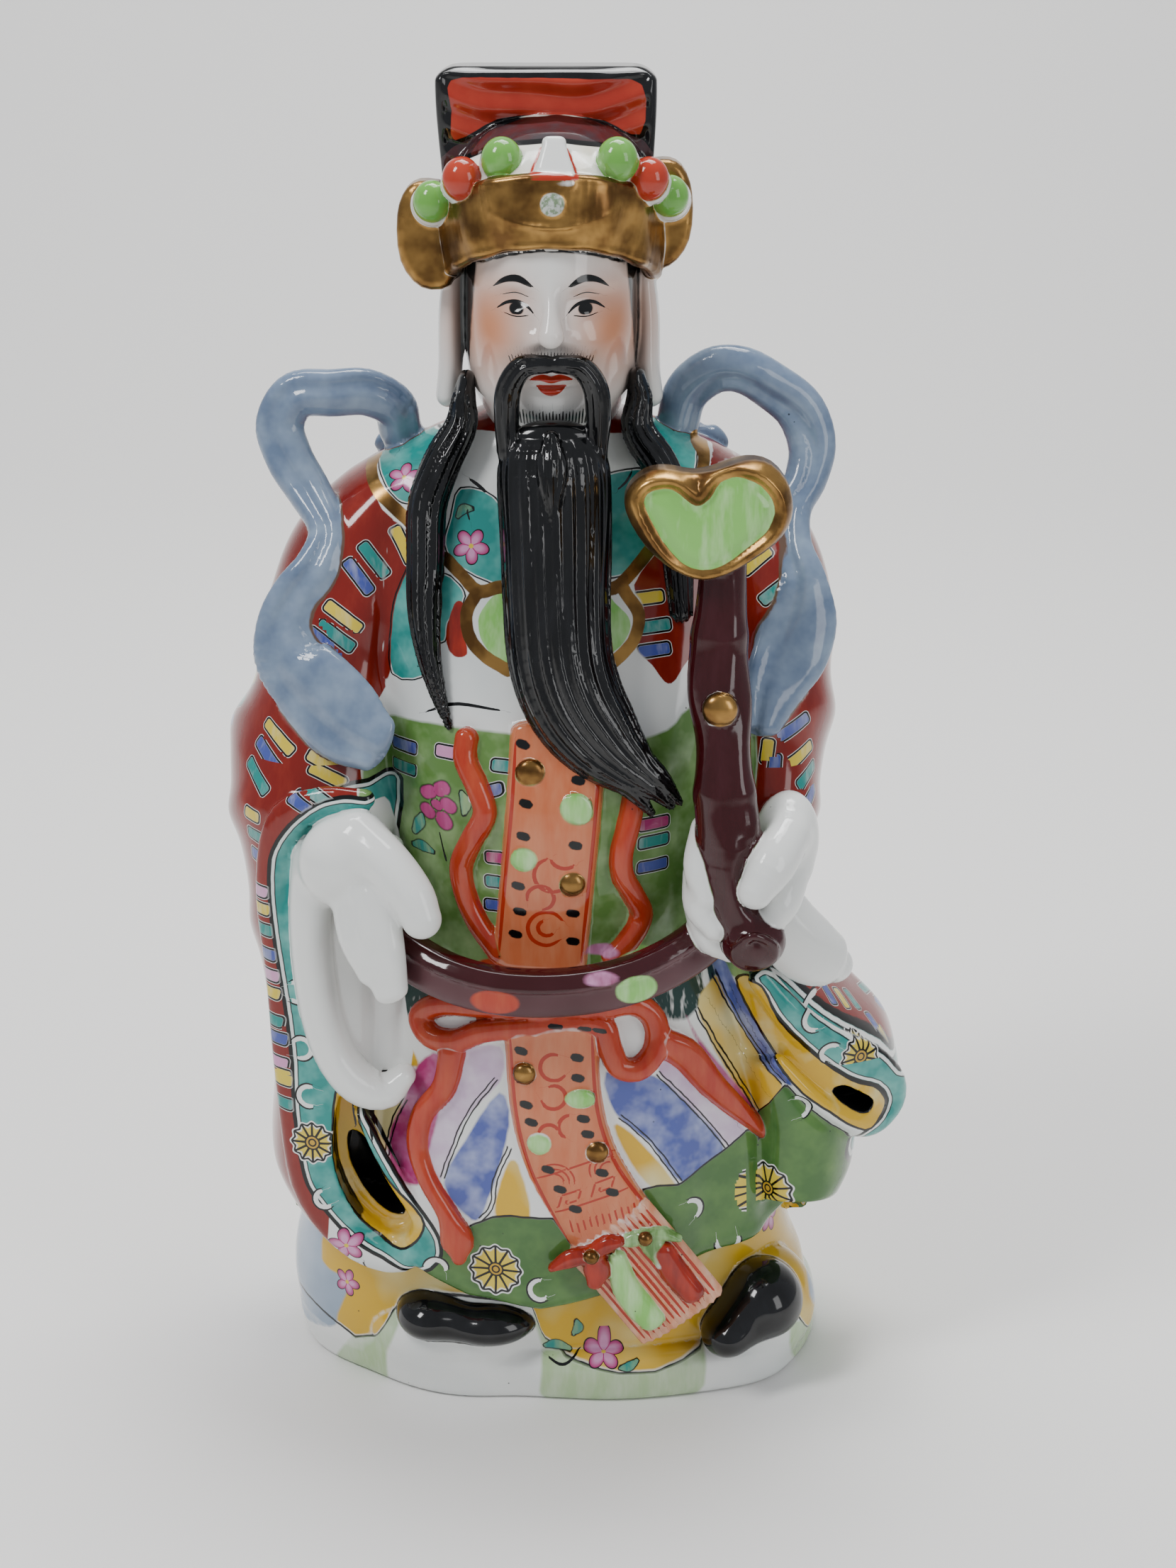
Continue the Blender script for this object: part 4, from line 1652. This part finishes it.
class Paint:
    """A glazed material painted in layers, each over the last."""

    def __init__(self, name):
        self.material = bpy.data.materials.new(name)
        self.material.use_nodes = True
        self.tree = self.material.node_tree
        self.shader = self.tree.nodes["Principled BSDF"]
        self.place = self.tree.nodes.new("ShaderNodeTexCoord").outputs["Object"]
        self.fields = {}
        self.watery = self.noise(90, 3, 0.55)
        self.streaky = self.noise(210, 3, 0.6, (1.0, 1.0, 0.22))
        self.broad = self.noise(38, 2, 0.5)
        self.fine = self.noise(700, 2, 0.6)
        self.wobble = (self.noise(260, 1, 0.5) - 0.5) * 1.1
        self.colour = None
        self.metal = None
        self.rough = None

    def noise(self, scale, detail, roughness, stretch=None):
        node = self.tree.nodes.new("ShaderNodeTexNoise")
        if stretch is None:
            self.tree.links.new(self.place, node.inputs["Vector"])
        else:
            scaled = self.tree.nodes.new("ShaderNodeVectorMath")
            scaled.operation = "MULTIPLY"
            self.tree.links.new(self.place, scaled.inputs[0])
            scaled.inputs[1].default_value = stretch
            self.tree.links.new(scaled.outputs[0], node.inputs["Vector"])
        node.inputs["Scale"].default_value = scale
        node.inputs["Detail"].default_value = detail
        node.inputs["Roughness"].default_value = roughness
        return Wire(self.tree, node.outputs["Fac"])

    def attribute(self, name):
        node = self.tree.nodes.new("ShaderNodeAttribute")
        node.attribute_name = name
        return node

    def field(self, name):
        """A painted area's signed distance, in mm."""
        if name not in self.fields:
            self.fields[name] = Wire(self.tree, self.attribute(name).outputs["Fac"])
        return self.fields[name]

    def motif(self, name):
        """The place in a motif's own frame, its size, and its colour."""
        split = self.tree.nodes.new("ShaderNodeSeparateXYZ")
        self.tree.links.new(self.attribute(name).outputs["Vector"], split.inputs[0])
        tint = Wire(self.tree, self.attribute(name + "_tint").outputs["Color"])
        return (*(Wire(self.tree, socket) for socket in split.outputs), tint)

    def inside(self, name, soft=0.12, grow=0.0, wobble=0.35):
        return (self.field(name) + self.wobble * wobble).ramp(grow + soft, grow - soft)

    def line(self, name, offset=0.0, half=0.28, wobble=0.4):
        """A brushed line along an area's edge."""
        return abs(self.field(name) - offset + self.wobble * wobble).ramp(half + 0.1, half - 0.1)

    def brushed(self, name):
        return abs(self.field(name)).ramp(1.12, 0.88)

    def mix(self, factor, first, second):
        node = self.tree.nodes.new("ShaderNodeMix")
        node.data_type = "RGBA"
        plug(self.tree, node.inputs[0], factor)
        for slot, value in ((node.inputs[6], first), (node.inputs[7], second)):
            plug(self.tree, slot, value)
        return Wire(self.tree, node.outputs[2])

    def blend(self, factor, first, second):
        node = self.tree.nodes.new("ShaderNodeMix")
        for slot, value in zip(node.inputs[:1] + node.inputs[2:4], (factor, first, second)):
            plug(self.tree, slot, value)
        return Wire(self.tree, node.outputs[0])

    def enamel(self, deep, thin, low=0.36, high=0.7, grain=None):
        """Colour that pools in some places and thins out in others."""
        return self.mix((grain or self.streaky).ramp(low, high), deep, thin)

    def lay(self, mask, colour, rough=None, metal=None):
        self.colour = colour if self.colour is None else self.mix(mask, self.colour, colour)
        if rough is not None:
            self.rough = self.blend(mask, GLAZE_ROUGHNESS if self.rough is None else self.rough, rough)
        if metal is not None:
            self.metal = self.blend(mask, 0.0 if self.metal is None else self.metal, metal)

    def gild(self, mask):
        """Worn gold lustre, brown where it is rubbed thin."""
        worn = self.mix(self.watery.ramp(0.36, 0.62), GOLD, BRONZE)
        self.lay(mask, worn, rough=0.27, metal=0.9)

    def specks(self):
        """Fine dark pinholes here and there in the glaze."""
        node = self.tree.nodes.new("ShaderNodeTexVoronoi")
        self.tree.links.new(self.place, node.inputs["Vector"])
        node.inputs["Scale"].default_value = 130
        near = Wire(self.tree, node.outputs["Distance"]).ramp(0.045, 0.03)
        split = self.tree.nodes.new("ShaderNodeSeparateColor")
        self.tree.links.new(node.outputs["Color"], split.inputs[0])
        chosen = Wire(self.tree, split.outputs[0]).ramp(0.66, 0.68)
        self.lay(near * chosen * 0.8, SOOT)

    def finish(self, wave=0.12):
        self.specks()
        self.tree.links.new(self.colour.socket, self.shader.inputs["Base Color"])
        if self.rough is not None:
            self.tree.links.new(self.rough.socket, self.shader.inputs["Roughness"])
        else:
            self.shader.inputs["Roughness"].default_value = GLAZE_ROUGHNESS
        if self.metal is not None:
            self.tree.links.new(self.metal.socket, self.shader.inputs["Metallic"])
        bump_node = self.tree.nodes.new("ShaderNodeBump")
        bump_node.inputs["Strength"].default_value = wave
        bump_node.inputs["Distance"].default_value = 0.0006
        self.tree.links.new((self.watery + self.fine * 0.06).socket, bump_node.inputs["Height"])
        self.tree.links.new(bump_node.outputs[0], self.shader.inputs["Normal"])
        return self.material


def paint_bars(paint):
    """Small enamel bars with an ink outline and a thin bare edge."""
    u, v, half, tint = paint.motif("bars")
    corner = 0.7
    wander = paint.wobble * 0.25
    across = (abs(u) - half + corner + wander).apply("MAXIMUM", 0.0)
    over = (abs(v) - (BAR_HALF_HEIGHT - corner) + wander).apply("MAXIMUM", 0.0)
    edge = (across * across + over * over).apply("SQRT") - corner
    streaks = paint.mix(paint.streaky.ramp(0.5, 0.8) * 0.45, tint, PORCELAIN)
    on_cloth = paint.inside("bar_ground", 0.4)
    paint.lay(edge.ramp(0.95, 0.8) * on_cloth, PORCELAIN)
    paint.lay(abs(edge - 0.4).ramp(0.36, 0.24) * on_cloth, INK)
    paint.lay(edge.ramp(0.14, 0.02) * on_cloth, streaks)


def paint_daisies(paint):
    """Round chrysanthemums: twelve petals between ink lines, and a ringed middle."""
    u, v, size, _ = paint.motif("daisies")
    reach = (u * u + v * v).apply("SQRT")
    turn = v.apply("ARCTAN2", u)
    edge = size - 0.45 + (turn * 12.0).apply("COSINE") * 0.4
    rays = abs((turn * 6.0).apply("SINE")) * reach * 0.166
    inside = (reach - edge).ramp(0.1, -0.1)
    paint.lay((reach - edge).ramp(0.9, 0.7), PORCELAIN)
    paint.lay(inside, paint.mix((edge - reach).ramp(0.5, 1.1), PORCELAIN, BAR_YELLOW))
    paint.lay(rays.ramp(0.42, 0.28) * inside, INK)
    paint.lay(abs(reach - edge).ramp(0.42, 0.28), INK)
    paint.lay(reach.ramp(2.4, 2.2), OCHRE)
    for ring in (2.2, 1.1):
        paint.lay(abs(reach - ring).ramp(0.32, 0.2), INK)


def paint_blossoms(paint):
    """Five pointed petals, deep at the rim and pale inside."""
    u, v, size, _ = paint.motif("blossoms")
    reach = (u * u + v * v).apply("SQRT")
    turn = v.apply("ARCTAN2", u)
    edge = size * (abs((turn * 2.5).apply("COSINE")) * 0.44 + 0.5)
    off = reach - edge + paint.wobble * 0.5
    seams = abs((turn * 2.5).apply("COSINE")) * reach * 0.4
    inside = off.ramp(0.1, -0.1)
    paint.lay(inside, paint.mix(off.ramp(-2.4, -0.3), PINK, MAGENTA))
    paint.lay(inside * seams.ramp(0.2, 0.1), MAGENTA)
    paint.lay(abs(off).ramp(0.26, 0.14), INK)
    paint.lay(reach.ramp(0.8, 0.6), BAR_YELLOW)


def paint_hems(paint):
    """Turquoise and yellow sleeve openings, edged in ink and white."""
    lay = paint.lay
    for name in ("left_hem", "right_hem"):
        lay(paint.inside(name), paint.enamel(TURQUOISE, AQUA, 0.42, 0.78, paint.watery))
        lay(paint.line(name, -0.3, 0.6, 0.3), INK)
        lay(paint.line(name, -1.4, 0.45, 0.3), PORCELAIN)
        lay(paint.line(name, -2.0, 0.16, 0.3), INK)
    lay(paint.inside("left_cuff"), PORCELAIN)
    for name in ("left_yellow", "right_yellow"):
        lay(paint.inside(name), paint.enamel(YELLOW, PALE_YELLOW, 0.48, 0.85, paint.watery))
        lay(paint.line(name, -0.2, 0.4, 0.4), INK)


def paint_skirt(paint):
    """Stripes of the skirt, its green hem and the underskirt."""
    lay = paint.lay
    inside = paint.inside
    lay(inside("stripe_yellow", 0.4), paint.enamel(YELLOW, PALE_YELLOW, 0.4, 0.6, paint.broad))
    lay(inside("stripe_magenta", 0.4), paint.enamel(MAGENTA, PINK, 0.45, 0.8, paint.watery))
    lay(inside("stripe_lilac", 0.4), paint.enamel(LILAC, PALE_LILAC, 0.35, 0.75, paint.watery))
    lay(inside("stripe_blue", 0.4), paint.enamel(BLUE, PALE_BLUE, 0.42, 0.72, paint.watery))
    for offset in (-0.7, 0.5):
        mark = paint.line("stripe_line", offset, 0.24, 0.9) * paint.field("stripe_line_past").ramp(0.6, 0.2)
        lay(mark, INK)
    lay(inside("green_hem", 0.2), paint.enamel(DEEP_GREEN, GRASS, 0.4, 0.75, paint.watery))
    lay(paint.line("green_hem", 0.2, 0.3), INK)
    lay(inside("skirt_edge", 0.3), paint.enamel(YELLOW, PALE_YELLOW, 0.5, 0.85, paint.broad))
    lay(inside("skirt_blue", 0.4), paint.enamel(PALE_SLATE, srgb(176, 190, 206), 0.4, 0.7, paint.broad))
    lay(paint.line("skirt_edge", 0.6, 0.35), INK)
    lay(inside("plinth_green", 0.5) * paint.field("skirt_edge").ramp(0.4, 1.2),
        paint.enamel(PALE_GREEN, srgb(190, 206, 178)))


def paint_sashes(paint):
    """Orange sashes with red scrolls and dark dots, and the cords, bow and tassels round them."""
    lay = paint.lay
    inside = paint.inside
    sashes = union_mask(paint, "upper_sash", "lower_sash")
    lay(sashes, paint.enamel(ORANGE, PALE_ORANGE, 0.35, 0.9))
    lay(paint.brushed("sash_red") * sashes, VERMILION)
    for name in ("cords", "bow", "ribbons"):
        lay(inside(name), paint.enamel(VERMILION, CORAL, 0.35, 0.75))
    lay(paint.brushed("sash_dots") * union_mask(paint, "upper_sash", "lower_sash", "bow"), INK)
    lay(inside("belt"), paint.enamel(MAROON, PLUM, 0.3, 0.8, paint.broad))
    lay(inside("belt_front", 0.3), paint.enamel(PLUM, srgb(92, 56, 62), 0.3, 0.8, paint.broad), rough=0.32)
    for name, deep, thin in (("belt_red", VERMILION, CORAL), ("belt_green", LIME, PALE_LIME),
                             ("belt_pink", PINK, srgb(150, 80, 110))):
        lay(inside(name, 0.3), paint.enamel(deep, thin))
    lay(inside("tassel_panel"), paint.enamel(PALE_ORANGE, srgb(218, 176, 150)))
    lay(paint.brushed("fringe") * inside("tassel_panel"), VERMILION)
    for name, deep, thin in (("green_tassel", LIME, PALE_LIME), ("red_tassel", VERMILION, BRICK),
                             ("red_bow", VERMILION, BRICK), ("leaf_bow", GRASS, PALE_LIME),
                             ("green_drops", LIME, PALE_LIME)):
        lay(inside(name), paint.enamel(deep, thin))
    for name in ("beads", "studs"):
        paint.gild(inside(name))


def union_mask(paint, *names):
    mask = paint.inside(names[0])
    for name in names[1:]:
        mask = mask.apply("MAXIMUM", paint.inside(name))
    return mask


def body_paint():
    paint = Paint("painted_porcelain")
    lay = paint.lay
    inside = paint.inside
    lay(None, paint.enamel(PORCELAIN, srgb(216, 221, 220), 0.4, 0.7, paint.broad))
    lay(inside("red"), paint.enamel(BRICK, RUSSET, 0.45, 0.9))
    lay(inside("turquoise"), paint.enamel(TURQUOISE, AQUA, 0.42, 0.8, paint.watery))
    lay(paint.line("turquoise", 0.5, 0.22), INK)
    lay(inside("medallions"), paint.enamel(LIME, PALE_LIME))
    lay(inside("red_drop"), paint.enamel(BRICK, VERMILION))
    lay(inside("belly", 0.5), paint.enamel(GRASS, SAGE, 0.42, 0.78, paint.watery))
    lay(inside("brush", 0.6), paint.enamel(PITCH_GREEN, PORCELAIN, 0.5, 0.62))
    paint_skirt(paint)
    paint_hems(paint)
    lay(paint.brushed("petal_edges"), INK)
    lay(paint.brushed("petals"), paint.enamel(MAGENTA, srgb(190, 84, 142)))
    lay(paint.brushed("leaf_edges"), INK)
    lay(paint.brushed("leaves"), paint.enamel(TURQUOISE, SAGE))
    paint_bars(paint)
    paint_daisies(paint)
    paint_blossoms(paint)
    lay(paint.brushed("scrolls"), PORCELAIN)
    lay(paint.brushed("ink"), INK)
    lay(inside("scarf"), paint.enamel(SLATE, PALE_SLATE, 0.35, 0.8, paint.watery))
    lay(paint.line("scarf", 0.1, 0.22), UMBER)
    paint.gild(inside("collar_gold"))
    paint_sashes(paint)
    lay(inside("hands"), PORCELAIN)
    lay(inside("sceptre_stem"), paint.enamel(MAROON, PLUM, 0.4, 0.9))
    paint.gild(inside("sceptre_head"))
    lay(inside("heart"), paint.enamel(LIME, PALE_LIME, 0.5, 0.8), rough=GLAZE_ROUGHNESS, metal=0.0)
    paint.gild(inside("sceptre_stud"))
    lay(inside("shoes"), paint.enamel(INK, SOOT))
    lay(inside("left_hollow"), INK)
    lay(inside("right_hollow"), INK)
    return paint.finish()


def head_paint():
    paint = Paint("painted_head")
    lay = paint.lay
    inside = paint.inside
    lay(None, PORCELAIN)
    lay(paint.field("blush"), PEACH)
    lay(paint.field("face_shade") * 0.35, PEACH)
    lay(inside("nape"), paint.enamel(INK, SOOT))
    lay(inside("sideburns", 0.3), SOOT)
    lay(paint.brushed("lips"), paint.enamel(VERMILION, srgb(190, 56, 44)))
    lay(paint.brushed("irises"), INK)
    lay(paint.brushed("ink"), INK)
    lay(inside("cap"), paint.enamel(CREAM, PORCELAIN, 0.3, 0.7, paint.watery))
    lay(inside("hat_tier"), paint.enamel(INK, SOOT))
    lay(inside("arc", grow=0.4) * paint.field("arc").ramp(-5.6, -5.4) * inside("hat_tier_or_cap"), INK)
    band = paint.field("arc").ramp(-4.4, -4.2) * paint.field("arc").ramp(-0.9, -1.1)
    lay(band * inside("hat_tier_or_cap"), paint.enamel(srgb(70, 34, 36), srgb(58, 52, 56)))
    lay(inside("panel"), paint.enamel(srgb(162, 46, 32), srgb(180, 64, 44), 0.4, 0.85, paint.watery))
    for name in ("hat_band", "flaps"):
        paint.gild(inside(name))
    lay(paint.line("brim", 0.4, 0.3), INK)
    lay(inside("bezels"), PORCELAIN, rough=GLAZE_ROUGHNESS, metal=0.0)
    lay(paint.line("jewel_edge", 0.3, 0.3), VERMILION, rough=GLAZE_ROUGHNESS, metal=0.0)
    lay(inside("white_jewel"), PORCELAIN, rough=GLAZE_ROUGHNESS, metal=0.0)
    lay(inside("hat_jewel"), paint.enamel(srgb(120, 140, 110), srgb(190, 196, 190), 0.45, 0.6, paint.fine),
        rough=GLAZE_ROUGHNESS, metal=0.0)
    lay(inside("pearls"), paint.enamel(LEAF, srgb(160, 206, 136), 0.5, 0.85, paint.watery),
        rough=GLAZE_ROUGHNESS, metal=0.0)
    lay(inside("pearls") * inside("red_pearls"),
        paint.enamel(VERMILION, srgb(180, 66, 46), 0.4, 0.8, paint.watery), rough=GLAZE_ROUGHNESS, metal=0.0)
    return paint.finish()


def hair_paint():
    """Glossy black with faint brown streaks along the strands."""
    paint = Paint("black_hair")
    paint.lay(None, paint.enamel(INK, SOOT, 0.45, 0.75))
    return paint.finish(0.06)


def painted(name, mesh, sculpture, areas, paint, material):
    p = places_of(mesh).astype(float)
    for area, values in areas(p, ownership(sculpture, p)).items():
        store(mesh, area, values)
    paint(mesh)
    return piece(name, mesh, sculpture, material)


# Stage, lights and camera
CAMERA_PLACE = (8.6, -790.0, 455.0)
CAMERA_PITCH = 18.9
PHOTO_HEIGHT = 2212
FOCAL_PIXELS = 3807
SENSOR = 36.0


def backdrop():
    """A seamless sweep: floor, a wide curve and a wall."""
    reach = 4.0
    wall = 1.2
    bend = 0.9
    profile = [(-reach, 0.0), (wall, 0.0)]
    for i in range(1, 17):
        turn = math.radians(90 * i / 16)
        profile.append((wall + bend * math.sin(turn), bend * (1 - math.cos(turn))))
    profile.append((wall + bend, reach))
    points = [(x, y, z) for y, z in profile for x in (-reach, reach)]
    faces = [(2 * i, 2 * i + 1, 2 * i + 3, 2 * i + 2) for i in range(len(profile) - 1)]
    mesh = bpy.data.meshes.new("backdrop")
    mesh.from_pydata(points, [], faces, shade_flat=False)
    obj = bpy.data.objects.new("backdrop", mesh)
    bpy.context.scene.collection.objects.link(obj)
    material = bpy.data.materials.new("backdrop")
    material.use_nodes = True
    shader = material.node_tree.nodes["Principled BSDF"]
    shader.inputs["Base Color"].default_value = (0.86, 0.85, 0.83, 1)
    shader.inputs["Roughness"].default_value = 0.7
    mesh.materials.append(material)


def soft_light(name, place, target, width, height, power, colour=(1, 1, 1)):
    lamp = bpy.data.lights.new(name, "AREA")
    lamp.shape = "RECTANGLE"
    lamp.size = width
    lamp.size_y = height
    lamp.energy = power
    lamp.color = colour
    obj = bpy.data.objects.new(name, lamp)
    obj.location = place
    aim = Vector(target) - Vector(place)
    obj.rotation_euler = aim.to_track_quat("-Z", "Y").to_euler()
    bpy.context.scene.collection.objects.link(obj)


def lights():
    middle = (0.0, 0.0, 0.2)
    soft_light("key", (-0.7, -0.6, 1.25), middle, 0.3, 0.5, 11)
    soft_light("fill", (1.1, -0.9, 0.7), middle, 0.5, 0.9, 5)
    soft_light("top", (0.15, 0.2, 1.5), middle, 0.7, 0.5, 10)
    soft_light("wall", (0.0, 0.5, 1.9), (0.0, 1.9, 0.5), 1.6, 0.6, 30)
    world = bpy.data.worlds.new("room")
    world.use_nodes = True
    world.node_tree.nodes["Background"].inputs["Color"].default_value = (0.9, 0.93, 1.0, 1)
    world.node_tree.nodes["Background"].inputs["Strength"].default_value = 0.45
    bpy.context.scene.world = world


def camera():
    view = bpy.data.cameras.new("camera")
    view.sensor_width = SENSOR
    view.lens = SENSOR * FOCAL_PIXELS / PHOTO_HEIGHT
    obj = bpy.data.objects.new("camera", view)
    obj.location = [v * MM for v in CAMERA_PLACE]
    obj.rotation_euler = (math.radians(90 - CAMERA_PITCH), 0, 0)
    bpy.context.scene.collection.objects.link(obj)
    bpy.context.scene.camera = obj


body = Sculpture(body_groups(), body_hollows())
head = Sculpture(head_groups())
hair = Sculpture(hair_groups())
porcelain = body_paint()
whole = mesh_of("body", *body.surface(BODY_VOXEL))
for name, low, high in (("skirts", None, HIP_CUT), ("waist", HIP_CUT, CHEST_CUT), ("chest", CHEST_CUT, None)):
    painted(name, slab(whole, name, low, high), body, body_areas, paint_body, porcelain)
painted("head", mesh_of("head", *head.surface(HEAD_VOXEL)), head, head_areas, paint_head, head_paint())
piece("beard", mesh_of("beard", *hair.surface(HAIR_VOXEL)), hair, hair_paint())
backdrop()
lights()
camera()
